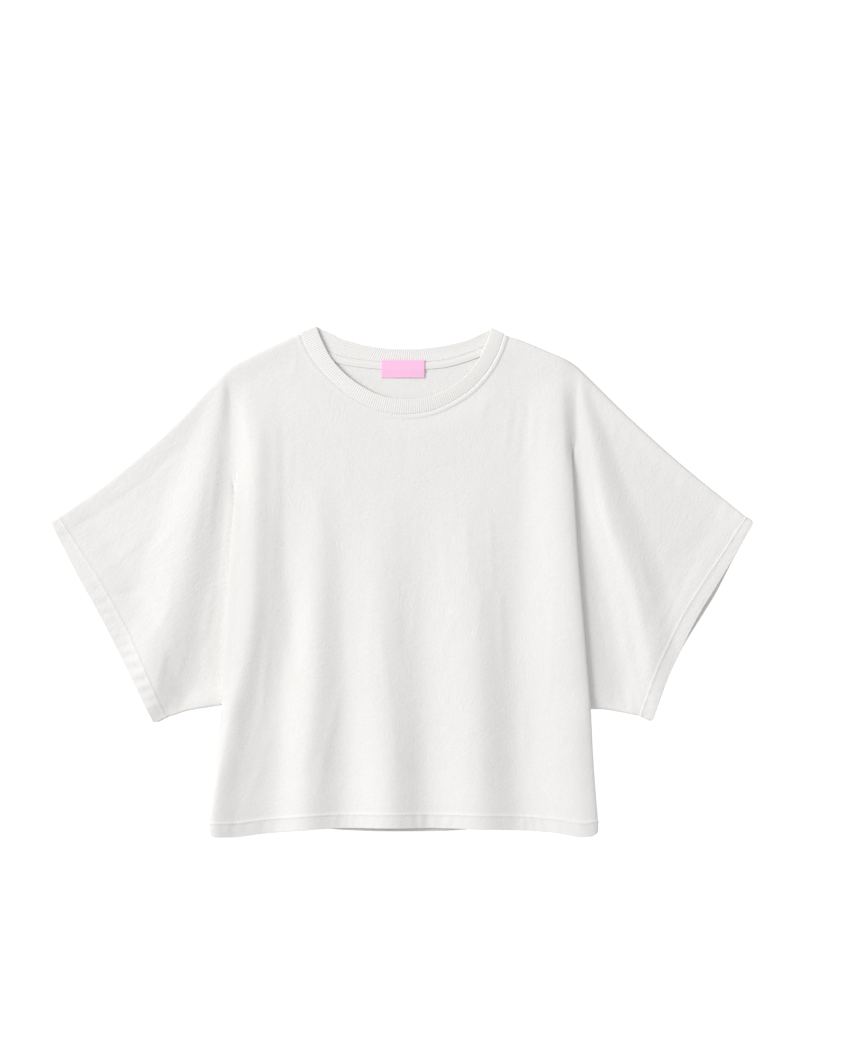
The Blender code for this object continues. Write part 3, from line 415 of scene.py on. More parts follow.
def panel_top(neck, shoulder_columns, neck_columns):
    """Top edge of a body: shoulder, neck, shoulder, a share for each column."""
    left = curve(SHOULDER["left"][:-1] + [tuple(neck(0.0))])
    right = curve([tuple(neck(1.0))] + SHOULDER["right"][1:])
    corner = shoulder_columns / (2 * shoulder_columns + neck_columns)

    def at(share):
        share = np.asarray(share, float)[..., None]
        on_neck = np.clip((share - corner) / (1 - 2 * corner), 0.0, 1.0)[..., 0]
        on_left = np.clip(share / corner, 0.0, 1.0)[..., 0]
        on_right = np.clip((share - 1 + corner) / corner, 0.0, 1.0)[..., 0]
        middle = np.where(share < corner, left(on_left), neck(on_neck))
        return np.where(share > 1 - corner, right(on_right), middle)
    return at


def body_grid(neck, hem, columns, rows):
    """Plan points of a body: rows down from the shoulder, columns from the left.

    columns are those of a shoulder and of the neck, rows those along the sleeves
    and below them. Also returns the share of the sleeve's width at each arm row.
    """
    shoulder_columns, neck_columns = columns
    total = 2 * shoulder_columns + neck_columns
    edge = np.array(EDGE_SHARES) / total
    across = np.concatenate([edge, np.arange(1, total) / total, 1 - edge[::-1]])
    hem_line = curve(hem)
    lift = HEM_DEPTH + STEP

    def low_edge(share):
        share = np.asarray(share, float)
        point = hem_line(share)
        y = point[..., 1] + lift
        x = side_x(y, "left") * (1 - share) + side_x(y, "right") * share
        straight = hem_line(0.0)[0] * (1 - share) + hem_line(1.0)[0] * share
        return np.stack([point[..., 0] + x - straight, y], axis=-1)

    stitch_y = hem_line(0.5)[1] + lift
    under = (SHOULDER_Y - SLEEVE_END_Y) / (SHOULDER_Y - stitch_y)
    arm = np.linspace(0.0, under, rows[0] + 1)
    down = np.concatenate([arm, np.linspace(under, 1.0, rows[1] + 1)[1:]])

    def side(name, end_y):
        def at(share):
            y = np.interp(share, [0.0, under, 1.0], [SHOULDER_Y, UNDERARM_Y[name], end_y])
            return np.stack([side_x(y, name), y], axis=-1)
        return at
    across_all, down_all = np.meshgrid(across, down)
    grid = patch(panel_top(neck, shoulder_columns, neck_columns), low_edge,
                 side("left", hem_line(0.0)[1] + lift), side("right", hem_line(1.0)[1] + lift),
                 across_all, down_all, SIDE_FADE)
    strip = [grid[-1] + (hem_line(across) - grid[-1]) * share for share in HEM_ROWS / lift]
    grid = np.concatenate([grid, strip])
    for end, inside in ((0, HEM_AIM), (-1, -1 - HEM_AIM)):
        grid = rounded(grid, grid[-1, end], grid[-1, inside], grid[-HEM_COUNT, end], CORNER)
    return grid, arm / under


def cuff_lines(name, inset):
    """A cuff's edge, laid back by the inset, and the line where its turned hem ends."""
    edge = curve(CUFF[name])
    inward = 1.0 if name == "left" else -1.0
    hem_column = 1 if name == "left" else 2
    along = edge(1.0) - edge(0.0)
    across = np.array([-along[1], along[0]]) / np.linalg.norm(along)
    across = across * np.sign(across[0]) * inward

    def moved(share, depth):
        return edge(share) + across * depth[..., None]

    def front_edge(share):
        share = np.asarray(share, float)
        swing = np.pi * np.clip((share - INSET_FROM) / INSET_OVER, 0.0, 1.0)
        return moved(share, inset * np.sin(swing) ** 2)

    def hem_end(share):
        share = np.asarray(share, float)
        depth = np.interp(share, CUFF_HEM[:, 0], CUFF_HEM[:, hem_column]) + STEP
        return front_edge(share) + (moved(share, depth) - edge(share))
    return front_edge, hem_end


def sleeve_grid(name, rows, columns, inset):
    """Plan points of a sleeve, columns from the body outwards.

    Also returns the points of the body's edge beside it, and the sleeve's
    direction away from them.
    """
    front_edge, hem_end = cuff_lines(name, inset)
    top_line = curve(SLEEVE_TOP[name])
    low_line = curve(UNDERARM[name])

    def body_side(share):
        y = SHOULDER_Y + (UNDERARM_Y[name] - SHOULDER_Y) * np.asarray(share, float)
        return np.stack([side_x(y, name), y], axis=-1)

    def part_of(line, stop):
        return lambda share: line(np.asarray(share, float) * stop)

    def stop_at(line, goal):
        shares = np.linspace(0.0, 1.0, 400)
        return shares[np.argmin(np.linalg.norm(line(shares) - goal, axis=-1))]
    top = part_of(top_line, stop_at(top_line, hem_end(0.0)))
    low = part_of(low_line, stop_at(low_line, hem_end(1.0)))

    def plan(across, down):
        return patch(top, low, body_side, hem_end, across, down, 1)
    span = np.linalg.norm(plan(np.ones_like(rows), rows) - plan(np.zeros_like(rows), rows), axis=-1)
    first = (PLEAT_OUT / span)[:, None]
    across = first + (1 - first) * np.linspace(0.0, 1.0, columns + 1)[None, :]
    grid = plan(across, np.repeat(rows[:, None], across.shape[1], axis=1))
    start = body_side(rows)
    direction = plan(np.full_like(rows, SLEEVE_AIM), rows) - start
    direction /= np.linalg.norm(direction, axis=-1, keepdims=True)
    last = grid[:, -1]
    strip = [last + (front_edge(rows) - last) * share for share in HEM_ROWS / HEM_ROWS[-1]]
    grid = np.concatenate([grid, np.stack(strip, axis=1)], axis=1)
    for end, inside in ((0, CUFF_AIM), (-1, -1 - CUFF_AIM)):
        grid = rounded(grid, grid[end, -1], grid[inside, -1], grid[end, -HEM_COUNT], CORNER)
    return grid, start, direction


def closed_edges():
    """The folded and sewn edges, where front and back meet."""
    lines = [curve(SHOULDER["left"]), curve(SHOULDER["right"])]
    for name in ("left", "right"):
        lines += [curve(SLEEVE_TOP[name]), curve(UNDERARM[name])]
    return lines


def loose_height(points):
    """Height of the loose front over the layer below it, with no folds."""
    away = np.min([distance_to(points, line, 24) for line in closed_edges()], axis=0)
    dip = EDGE_DIP * smooth(DIP_START, DIP_LOW, away) * smooth(DIP_END, DIP_LOW, away)
    height = EDGE_PUFF - dip + (PUFF - EDGE_PUFF) * smooth(PUFF_START, DIP_END, away)
    return height * quarter_round(away, EDGE_ROUND)


def across_folds(x, places, heights):
    """A smooth height across the folds, level at each highest and lowest line."""
    places, heights = np.stack(places), np.stack(heights)
    span = np.maximum(np.diff(places, axis=0), 1.0)
    rise = np.diff(heights, axis=0) / span
    both = rise[:-1] * rise[1:]
    slope = np.zeros_like(heights)
    slope[1:-1] = np.where(both > 0, 2 * both, 0.0) / np.where(both > 0, rise[:-1] + rise[1:], 1.0)
    result = heights[0].copy()
    for left, width in enumerate(span):
        share = np.clip((x - places[left]) / width, 0.0, 1.0)
        value = cubic(share, *heights[left:left + 2], *(width * slope[left:left + 2]))
        result = np.where(x >= places[left], value, result)
    return result


def side_line(side, name, y):
    """The place and the height of one of the lines along a side."""
    places, heights = SIDE_LINES[side][name]
    x = side_x(y, side) if places is None else track(y, LINE_Y[:len(places)], places)
    return x, track(y, LINE_Y[:len(heights)], heights)


def pleat_closed(y, side):
    """0 above the pleat, where body and sleeve are one smooth surface, 1 where it overlaps."""
    return smooth(PLEAT_TOP[side], PLEAT_TOP[side] - PLEAT_FADE, y)


def blended(first, second, share):
    """The place and the height between two lines."""
    return [one * (1 - share) + two * share for one, two in zip(first, second)]


def body_folds(points):
    """Height of the folds that run down the body, between its two sides."""
    x, y = points[..., 0], points[..., 1]
    lines = []
    for _, height, at_hem, top, places in BODY_FOLDS:
        height = height + (at_hem - height) * smooth(*HEM_FOLD_Y, y)
        lines.append((track(y, FOLD_STATIONS, places), height * smooth(top, FOLD_FULL_Y, y) ** 0.7))
    ends = {}
    for side, names in BODY_LINES.items():
        edge = blended(side_line(side, "groove", y), side_line(side, "body edge", y), pleat_closed(y, side))
        ends[side] = [edge] + [side_line(side, name, y) for name in names]
    return across_folds(x, *zip(*(ends["left"] + lines + ends["right"][::-1])))


def sleeve_folds(points, side):
    """Height of the folds of one sleeve, up to the body."""
    x, y = points[..., 0], points[..., 1]
    lines = [side_line(side, name, y) for name in SLEEVE_LINES[side]]
    body = blended(side_line(side, "body crest", y), side_line(side, "inner", y), pleat_closed(y, side))
    lines.append(body)
    if side == "right":
        lines.reverse()
    total = across_folds(x, *zip(*lines))
    # the folds run out towards the closed edges
    for line in (curve(SLEEVE_TOP[side]), curve(UNDERARM[side])):
        total = total * smooth(-4.0, 20.0, distance_to(points, line, 24))
    return total


def creases(points):
    """The listed small soft creases, each fading out at both ends."""
    total = np.zeros(points.shape[:-1])
    for start_x, start_y, end_x, end_y, height, width in CREASES:
        away, share = distance_to_segment(points, np.array([start_x, start_y]), np.array([end_x, end_y]))
        fade = smooth(-0.15, 0.25, share) * smooth(1.15, 0.75, share)
        total += height * (1.0 - smooth(0.0, width, away)) * fade
    return total


def rumple(points, size, height, layer):
    """An even unevenness of the cloth, of that size and height."""
    flat = points.reshape(-1, points.shape[-1])
    values = [noise.noise(Vector((x / size, y / size, layer))) for x, y in flat[:, :2]]
    return height * np.array(values).reshape(points.shape[:-1])


def small_relief(points):
    """What lies on the large folds: the creases and the rumpled surface."""
    return creases(points) + rumple(points, *RUMPLE) + rumple(points, *FINE_RUMPLE)


def hem_relief(step, fall, rise):
    """Outer relief at the rows of a hem: the cloth steps up onto it, then sinks at the stitches."""
    relief = step * (smooth(0.0, 2.0, HEM_ROWS) - fall * smooth(2.2, 4.6, HEM_ROWS))
    return relief + rise * smooth(4.0, 13.0, HEM_ROWS)


def add_turned_cloth(face, arms):
    """Lifts one face of a panel by the second layer of its hem and of its two cuffs."""
    layer = (HEM_CLOTH - CLOTH) * smooth(0.0, STEP, HEM_ROWS)
    face[-HEM_COUNT:] += layer[:, None]
    face[arms, :HEM_COUNT] += layer[::-1]
    face[arms, -HEM_COUNT:] += layer


def pucker(along, depth, strength, start):
    """Short slanting waves of uneven size that the stitching draws into a turned hem."""
    wander = 2.6 * np.sin(along / 37.0 + start) + 1.9 * np.sin(along / 14.3 + 1.0 + start)
    wave = np.sin(along * 2 * np.pi / PUCKER_WAVE + wander + depth * 0.16)
    swell = np.clip(0.35 + 0.65 * np.sin(along / 21.0 + start) * np.sin(along / 47.0 + 0.6), 0.0, 1.0)
    return strength * swell * wave * smooth(0.5, 5.0, depth) * smooth(19.0, 9.0, depth)


# ---------------------------------------------------------------- walls
def placed(name, data):
    """A new object with that mesh, light or camera in the scene."""
    thing = bpy.data.objects.new(name, data)
    bpy.context.scene.collection.objects.link(thing)
    return thing


def cloth_wall(name, points, cells, outer, inner, material, rim=0.15):
    """A closed cloth wall round a middle surface, from its outer and inner distances.

    Its open edges bulge by the share rim of their thickness. Returns the object
    and its outer points by their place in the grid.
    """
    points = np.asarray(points, float)
    used = np.unique(np.array(cells))
    place = {number: index for index, number in enumerate(used)}
    full_count = len(points)
    cells = [tuple(place[number] for number in cell) for cell in cells]
    points, outer, inner = points[used], np.asarray(outer)[used], np.asarray(inner)[used]
    corners = np.array(cells)
    normals = np.zeros_like(points)
    for turn in range(4):
        before, here, after = (np.roll(corners, shift, axis=1)[:, turn] for shift in (1, 0, -1))
        np.add.at(normals, here, np.cross(points[after] - points[here], points[before] - points[here]))
    normals /= np.linalg.norm(normals, axis=1, keepdims=True)
    count = len(points)
    top = points + normals * outer[:, None]
    low = points - normals * inner[:, None]
    faces = cells + [tuple(number + count for number in reversed(cell)) for cell in cells]
    edges = {(cell[turn], cell[(turn + 1) % 4]) for cell in cells for turn in range(4)}
    rims = [(start, end) for start, end in edges if (end, start) not in edges]
    out = {}
    for start, end in rims:
        side = np.cross(points[end] - points[start], normals[start])
        side /= max(np.linalg.norm(side), 1e-9)
        for number in (start, end):
            out[number] = out.get(number, 0.0) + side
    ring = {}
    middle = []
    for number, side in out.items():
        ring[number] = 2 * count + len(middle)
        thick = outer[number] + inner[number]
        middle.append((top[number] + low[number]) / 2 + side / np.linalg.norm(side) * thick * rim)
    for start, end in rims:
        faces.append((end, start, ring[start], ring[end]))
        faces.append((ring[end], ring[start], start + count, end + count))
    vertices = np.vstack([top, low, np.array(middle)]) * MM
    mesh = bpy.data.meshes.new(name)
    mesh.from_pydata(vertices.tolist(), [], faces)
    mesh.materials.append(material)
    mesh.shade_smooth()
    surface = np.full((full_count, 3), np.nan)
    surface[used] = top
    return placed(name, mesh), surface


def grid_cells(present):
    """Four-cornered cells between the present points of a grid, facing up."""
    rows, columns = present.shape
    number = np.arange(rows * columns).reshape(rows, columns)
    whole = present[:-1, :-1] & present[1:, :-1] & present[1:, 1:] & present[:-1, 1:]
    at = np.argwhere(whole)
    row, column = at[:, 0], at[:, 1]
    return np.stack([number[row, column], number[row + 1, column],
                     number[row + 1, column + 1], number[row, column + 1]], axis=1).tolist()


def grid_wall(name, grid, outer, inner, material, present=None):
    """The cloth wall of a grid or of those of its points that are present."""
    present = np.ones(grid.shape[:2], bool) if present is None else present
    thing, surface = cloth_wall(name, grid.reshape(-1, 3), grid_cells(present),
                                outer.ravel(), inner.ravel(), material)
    return thing, surface.reshape(grid.shape)


def joined(left, body, right, above=0):
    """One grid of a body and its sleeves, with empty rows above it.

    Returns the grid, which of its points are present, the columns of the body
    and the rows of the sleeves.
    """
    body_at = slice(left.shape[1], left.shape[1] + body.shape[1])
    arms = slice(above, above + len(left))
    grid = np.zeros((above + len(body), body_at.stop + right.shape[1], body.shape[2]))
    present = np.zeros(grid.shape[:2], bool)
    grid[above:, body_at] = body
    present[above:, body_at] = True
    grid[arms, :body_at.start] = left
    grid[arms, body_at.stop:] = right
    present[arms] = True
    return grid, present, body_at, arms


# ---------------------------------------------------------------- front
def pleat_layers(name, start, direction, edge, height_at):
    """Points of the pleat's section, from the body's edge to the sleeve's grid."""
    closed = pleat_closed(start[:, 1], name)
    reach = np.clip((PLEAT_TOP[name] - start[:, 1]) / (PLEAT_TOP[name] - UNDERARM_Y[name]), 0.0, 1.0)
    depth = PLEAT_DEPTH[name] * reach ** 0.7
    room = np.maximum(edge[:, 2] - FRONT_MID, 0.0) * 0.5
    layers = []
    for open_out, closed_out, depth_share, closed_height in PLEAT:
        out = open_out * (1 - closed) + (closed_out - depth * depth_share) * closed
        plan = start + direction * out[:, None]
        open_height = height_at(start + direction * open_out)
        if closed_height is None:
            folded = height_at(plan) - PLEAT_SINK
        else:
            folded = FRONT_MID + np.minimum(closed_height, room)
        z = open_height * (1 - closed) + folded * closed
        layers.append(np.concatenate([plan, z[:, None]], axis=-1))
    return layers


def front_sleeve(name, arm_shares, edge, edge_before):
    """Points of a front sleeve with its pleat, columns from the body outwards."""
    inset = CUFF_INSET if name == "right" else 0.0
    grid, start, direction = sleeve_grid(name, arm_shares, SLEEVE_COLUMNS, inset)
    from_hem = np.linalg.norm(grid - grid[:, [-HEM_COUNT - 1]], axis=-1)
    from_hem[:, -HEM_COUNT:] = 0.0

    def lying(points):
        return FRONT_MID + loose_height(points) + sleeve_folds(points, name) + small_relief(points)
    height = lying(grid) + HEM_RISE * smooth(CUFF_SLOPE, 0.0, from_hem)
    along = (arm_shares * curve(CUFF[name]).length)[:, None]
    height[:, -HEM_COUNT:] += pucker(along, HEM_ROWS, *CUFF_PUCKER[name])
    sleeve = np.concatenate([grid, height[..., None]], axis=-1)
    layers = pleat_layers(name, start, direction, edge, lying)
    chain = [edge_before, edge] + layers + [sleeve[:, 0], sleeve[:, 1]]
    fold = []
    for index in range(1, len(chain) - 2):
        for share in (1 / 3, 2 / 3, 1.0):
            fold.append(hermite(share, *chain[index - 1:index + 3]))
    return np.concatenate([np.stack(fold[:-1], axis=1), sleeve], axis=1)


def front_lying(points, from_hem):
    """Plan points of the front body with the height of its middle surface."""
    x, y = points[..., 0], points[..., 1]
    neck_near = 1.0 - smooth(0.0, NECK_BLEND, distance_to(points, curve(NECK_SEAM_FRONT)))
    calm = 1 - neck_near
    height = FRONT_MID + HEM_RISE * smooth(HEM_SLOPE, 0.0, from_hem)
    height = height + loose_height(points) * calm + body_folds(points)
    height = height + neck_near * (RIB_FRONT_MID - FRONT_MID) + small_relief(points) * calm
    turned = 1 - quarter_round(np.abs(x - side_x(y, "right")), ROLL_WIDTH)
    height = height - ROLL * pleat_closed(y, "right") * turned
    return np.concatenate([points, height[..., None]], axis=-1)


def close_sides(grid, present, body_at, arms):
    """Brings the front's two sides down to the back, below the sleeves."""
    low = slice(arms.stop, None)
    for edge, outwards in ((body_at.start, -1), (body_at.stop - 1, 1)):
        folded = grid[low, edge]
        foot = FRONT_MID + HEM_RISE * smooth(*TUCK_RISE, np.linspace(0.0, 1.0, len(folded)))
        for index, share in enumerate(TUCK_SHARES, 1):
            tucked = folded.copy()
            tucked[:, 0] -= np.sign(tucked[:, 0]) * SIDE_TUCK * share**2
            tucked[:, 2] += (foot - tucked[:, 2]) * share
            grid[low, edge + outwards * index] = tucked
            present[low, edge + outwards * index] = True


def front_faces(grid, body_at, arms, neck_at):
    """How far the front's outer and inner faces stand off its middle surface."""
    outer = np.full(grid.shape[:2], CLOTH / 2)
    inner = outer.copy()
    below_neck, neck = slice(arms.start, None), slice(arms.start)
    edge = body_at.start
    press = PRESS * pleat_closed(grid[below_neck, edge, 1], "left")[:, None]
    pressed = slice(edge, edge + PRESS_COLUMNS)
    inside = grid[below_neck, pressed, 0] - grid[below_neck, edge, :1]
    outer[below_neck, edge - 2:edge] -= press
    outer[below_neck, pressed] -= press * np.clip(1 - inside / PRESS_WIDTH, 0.0, 1.0) ** 1.5
    outer[-HEM_COUNT:, body_at] += hem_relief(*HEM_STEP)[:, None]
    ridge = NECK_RIDGE * smooth(-0.4, 1.5, NECK_ROWS) * smooth(5.5, 3.6, NECK_ROWS)
    ridge -= NECK_GROOVE * np.exp(-((NECK_ROWS - NECK_STITCH_AT) / 0.5) ** 2)
    to_right = smooth(*NECK_RIDGE_X, grid[neck, neck_at, 0])
    outer[neck, neck_at] += ridge[:, None] * (NECK_RIDGE_LEFT + (1 - NECK_RIDGE_LEFT) * to_right)
    outer[arms, :HEM_COUNT] += hem_relief(*CUFF_STEP["left"])[::-1]
    outer[arms, -HEM_COUNT:] += hem_relief(*CUFF_STEP["right"])
    add_turned_cloth(inner, arms)
    return outer, inner


def front_panel(material):
    """The front with its sleeves and pleats, and the paths of its stitches."""
    neck = moved_off(NECK_SEAM_FRONT, NECK_STRIP)
    columns = (SHOULDER_COLUMNS, NECK_COLUMNS)
    body, arm_shares = body_grid(neck, HEM_FRONT, columns, (ARM_ROWS, SIDE_ROWS))
    from_hem = np.maximum(body[..., 1] - body[-HEM_COUNT - 1, :, 1], 0.0)
    from_hem[-HEM_COUNT:] = 0.0
    body = front_lying(body, from_hem)
    body[-HEM_COUNT:, :, 2] += pucker(body[-1, :, 0], HEM_ROWS[:, None], *HEM_PUCKER)
    arm_body = body[:len(arm_shares)]
    left = front_sleeve("left", arm_shares, arm_body[:, 0], arm_body[:, 1])
    right = front_sleeve("right", arm_shares, arm_body[:, -1], arm_body[:, -2])
    grid, present, body_at, arms = joined(left[:, ::-1], body, right, len(NECK_ROWS))

    neck_shares = np.linspace(0.0, 1.0, NECK_COLUMNS + 1)
    strip = np.stack([moved_off(NECK_SEAM_FRONT, GAP / 2 + out)(neck_shares) for out in NECK_ROWS])
    first = body_at.start + len(EDGE_SHARES) - 1 + SHOULDER_COLUMNS
    neck_at = slice(first, first + NECK_COLUMNS + 1)
    grid[:len(NECK_ROWS), neck_at] = front_lying(strip, np.full(strip.shape[:2], HEM_SLOPE))
    present[:len(NECK_ROWS), neck_at] = True
    close_sides(grid, present, body_at, arms)

    outer, inner = front_faces(grid, body_at, arms, neck_at)
    thing, surface = grid_wall("front_jersey", grid, outer, inner, material, present)
    row = np.searchsorted(HEM_ROWS, STITCH_AT)
    return thing, {
        "hem": [surface[row - HEM_COUNT, body_at]],
        "left_cuff": [surface[arms, HEM_COUNT - 1 - row]],
        "right_cuff": [surface[arms, row - HEM_COUNT]],
        "neck": [surface[np.searchsorted(NECK_ROWS, NECK_STITCH_AT), neck_at]],
    }


def back_panel(material):
    """The back, flat on the surface; only its inside under the neck and its edges show."""
    neck = moved_off(NECK_SEAM_BACK, GAP)
    body, arm_shares = body_grid(neck, HEM_BACK, BACK_COLUMNS, BACK_ROWS)
    left, right = (sleeve_grid(name, arm_shares, BACK_SLEEVE_COLUMNS, 0.0)[0] for name in ("left", "right"))
    plan, present, _, arms = joined(left[:, ::-1], body, right)
    grid = np.concatenate([plan, np.full(plan.shape[:2] + (1,), BACK_MID)], axis=-1)
    lower = np.full(present.shape, CLOTH / 2)
    upper = lower.copy()
    add_turned_cloth(upper, arms)
    return grid_wall("back_jersey", grid, upper, lower, material, present)[0]


# ---------------------------------------------------------------- neck
def neck_rib(material):
    """The smooth rib band, its length and its visible face as attributes for the ribs."""
    front = (curve(NECK_SEAM_FRONT), curve(NECK_EDGE_FRONT))
    back = (curve(NECK_SEAM_BACK), curve(NECK_EDGE_BACK))
    sections = []
    face = []

    def length_of(pair):
        shares = np.linspace(0.0, 1.0, 300)
        middle = (pair[0](shares) + pair[1](shares)) / 2
        return np.linalg.norm(np.diff(middle, axis=0), axis=1).sum()

    def section(pair, share, shift, z, side):
        seam, edge = pair[0](share), pair[1](share)
        plan = seam + (edge - seam) * RIB_ACROSS[:, None] + shift
        sections.append(np.concatenate([plan, z[:, None]], axis=1))
        face.append(side)

    def stretch(pair, shares, middle, stand, side):
        dome = RIB_DOME * np.sin(np.pi * RIB_ACROSS) * side
        for share in shares:
            lift = RIB_STAND_LEFT + (1 - RIB_STAND_LEFT) * smooth(0.12, 0.5, share)
            rise = stand * np.sin(np.pi * share) ** 0.6 * lift
            section(pair, share, 0.0, middle + rise * RIB_ACROSS + dome, side)

    def fold(share, away, from_z, to_z):
        middle, radius = (from_z + to_z) / 2, (from_z - to_z) / 2
        for angle in np.radians(np.arange(20.0, 179.0, 20.0)):
            shift = np.array(away) * abs(radius) * np.sin(angle)
            section(front, share, shift, np.full(len(RIB_ACROSS), middle + radius * np.cos(angle)), 0.0)
    shares = np.linspace(0.0, 1.0, int(length_of(front) / RIB_SECTION))
    stretch(front, shares, RIB_FRONT_MID, RIB_STAND, 1.0)
    fold(1.0, RIB_TURN["right"], RIB_FRONT_MID, RIB_BACK_MID)
    shares = np.linspace(1.0, 0.0, int(length_of(back) / RIB_SECTION))
    stretch(back, shares, RIB_BACK_MID, 0.0, -1.0)
    fold(0.0, RIB_TURN["left"], RIB_BACK_MID, RIB_FRONT_MID)
    points = np.array(sections)
    total, wide = points.shape[:2]
    number = np.arange(total * wide).reshape(total, wide)
    after = np.roll(number, -1, axis=0)
    cells = np.stack([number[:, :-1], after[:, :-1], after[:, 1:], number[:, 1:]], axis=-1)
    half = np.full(total * wide, RIB_CLOTH / 2)
    thing, _ = cloth_wall("neck_rib_knit", points.reshape(-1, 3), cells.reshape(-1, 4).tolist(),
                          half, half, material, rim=0.2)
    middle = points[:, wide // 2]
    step = np.linalg.norm(np.roll(middle, -1, axis=0) - middle, axis=1)
    along = np.repeat(np.concatenate([[0.0], np.cumsum(step[:-1])]), wide)
    side = np.repeat(face, wide)
    height = np.tile(RIB_SEAM_SHARE + (1 - RIB_SEAM_SHARE) * smooth(0.0, 0.06, RIB_ACROSS), total)
    rim = np.zeros(len(thing.data.vertices) - 2 * total * wide)
    for name, top, low in (("along_mm", along, along),
                           ("knit", np.maximum(side, 0.0) * height, np.maximum(-side, 0.0) * height)):
        attribute = thing.data.attributes.new(name, "FLOAT", "POINT")
        attribute.data.foreach_set("value", np.concatenate([top, low, rim]))
    return thing


def neck_tape(material):
    """The narrow tape over the back neck seam, its two long edges turned and stitched."""
    shares = np.linspace(*TAPE_ENDS, TAPE_COLUMNS)
    seam = curve(NECK_SEAM_BACK)
    along = seam(shares + 0.01) - seam(shares - 0.01)
    down = np.stack([along[:, 1], -along[:, 0]], axis=-1)
    down /= np.linalg.norm(down, axis=-1, keepdims=True)
    across = (TAPE_ROWS - TAPE_ROWS[0]) / (TAPE_ROWS[-1] - TAPE_ROWS[0])
    crown = TAPE_CROWN * np.sin(np.pi * across) ** 0.5
    for row in TAPE_STITCHES:
        crown -= TAPE_GROOVE * np.exp(-((TAPE_ROWS - row) / 0.5) ** 2)
    z = np.full(len(shares), CLOTH + GAP + TAPE_CLOTH / 2)
    grid = np.stack([np.column_stack([seam(shares) + down * out, z]) for out in TAPE_ROWS])
    inner = np.full(grid.shape[:2], TAPE_CLOTH / 2)
    thing, surface = grid_wall("neck_tape_knit", grid, inner + crown[:, None], inner, material)
    return thing, list(surface[np.searchsorted(TAPE_ROWS, TAPE_STITCHES)])


def label(material):
    """The small woven label, its top edge on the tape, its face left bare."""
    on_tape = CLOTH + GAP + TAPE_CLOTH + TAPE_CROWN + GAP + LABEL_CLOTH / 2
    on_back = CLOTH + GAP + LABEL_CLOTH / 2 + LABEL_OFF_BACK
    width, depth = LABEL_SIZE
    columns, rows = LABEL_GRID
    x, down = np.meshgrid(np.linspace(-width / 2, width / 2, columns), np.linspace(0.0, depth, rows))
    z = on_tape + (on_back - on_tape) * smooth(LABEL_ON_TAPE, depth, down)
    z = z + LABEL_WAVE * np.sin(x / 9.0 + 1.0) * down / depth
    grid = np.stack([x + LABEL_CENTRE[0], LABEL_CENTRE[1] + depth / 2 - down, z], axis=-1)
    inner = np.full(x.shape, LABEL_CLOTH / 2)
    outer = inner + SELVEDGE[1] * (np.minimum(down, depth - down) < SELVEDGE[0])
    return grid_wall("woven_label", grid, outer, inner, material)[0]


# ---------------------------------------------------------------- node trees
def add(tree, kind, settings=None, **inputs):
    """Adds one node with its settings, links sockets and sets plain values."""
    node = tree.nodes.new(kind)
    for key, value in (settings or {}).items():
        setattr(node, key, value)
    for key, value in inputs.items():
        name = key.replace("_", " ")
        socket = node.inputs[int(key[1:])] if key[0] == "i" and key[1:].isdigit() else node.inputs[name]
        if isinstance(value, bpy.types.NodeSocket):
            tree.links.new(value, socket)
        else:
            socket.default_value = value
    return node


def new_tree(name, inputs):
    """A Geometry Nodes tree with a geometry in and out and the named inputs.

    Returns the tree, its input node and its output node.
    """
    tree = bpy.data.node_groups.new(name, "GeometryNodeTree")
    tree.interface.new_socket("Geometry", in_out="INPUT", socket_type="NodeSocketGeometry")
    for title, kind, value in inputs:
        socket = tree.interface.new_socket(title, in_out="INPUT", socket_type=kind)
        if value is not None:
            socket.default_value = value
    tree.interface.new_socket("Geometry", in_out="OUTPUT", socket_type="NodeSocketGeometry")
    return tree, tree.nodes.new("NodeGroupInput"), tree.nodes.new("NodeGroupOutput")


def finish_tree(tree, geometry, start, end):
    """Ends a tree: its instances made real, in its material."""
    real = add(tree, "GeometryNodeRealizeInstances", None, Geometry=geometry)
    done = add(tree, "GeometryNodeSetMaterial", None,
               Geometry=real.outputs[0], Material=start.outputs["Material"])
    tree.links.new(done.outputs[0], end.inputs[0])
    return tree


def apply_tree(thing, tree, material):
    """Runs a tree on an object in that material and keeps the plain mesh that it makes."""
    modifier = thing.modifiers.new(tree.name, "NODES")
    modifier.node_group = tree
    for item in tree.interface.items_tree:
        if item.in_out == "INPUT" and item.name == "Material":
            modifier[item.identifier] = material
    graph = bpy.context.evaluated_depsgraph_get()
    graph.update()
    mesh = bpy.data.meshes.new_from_object(thing.evaluated_get(graph))
    thing.modifiers.remove(modifier)
    thing.data = mesh
    mesh.shade_smooth()
    return thing


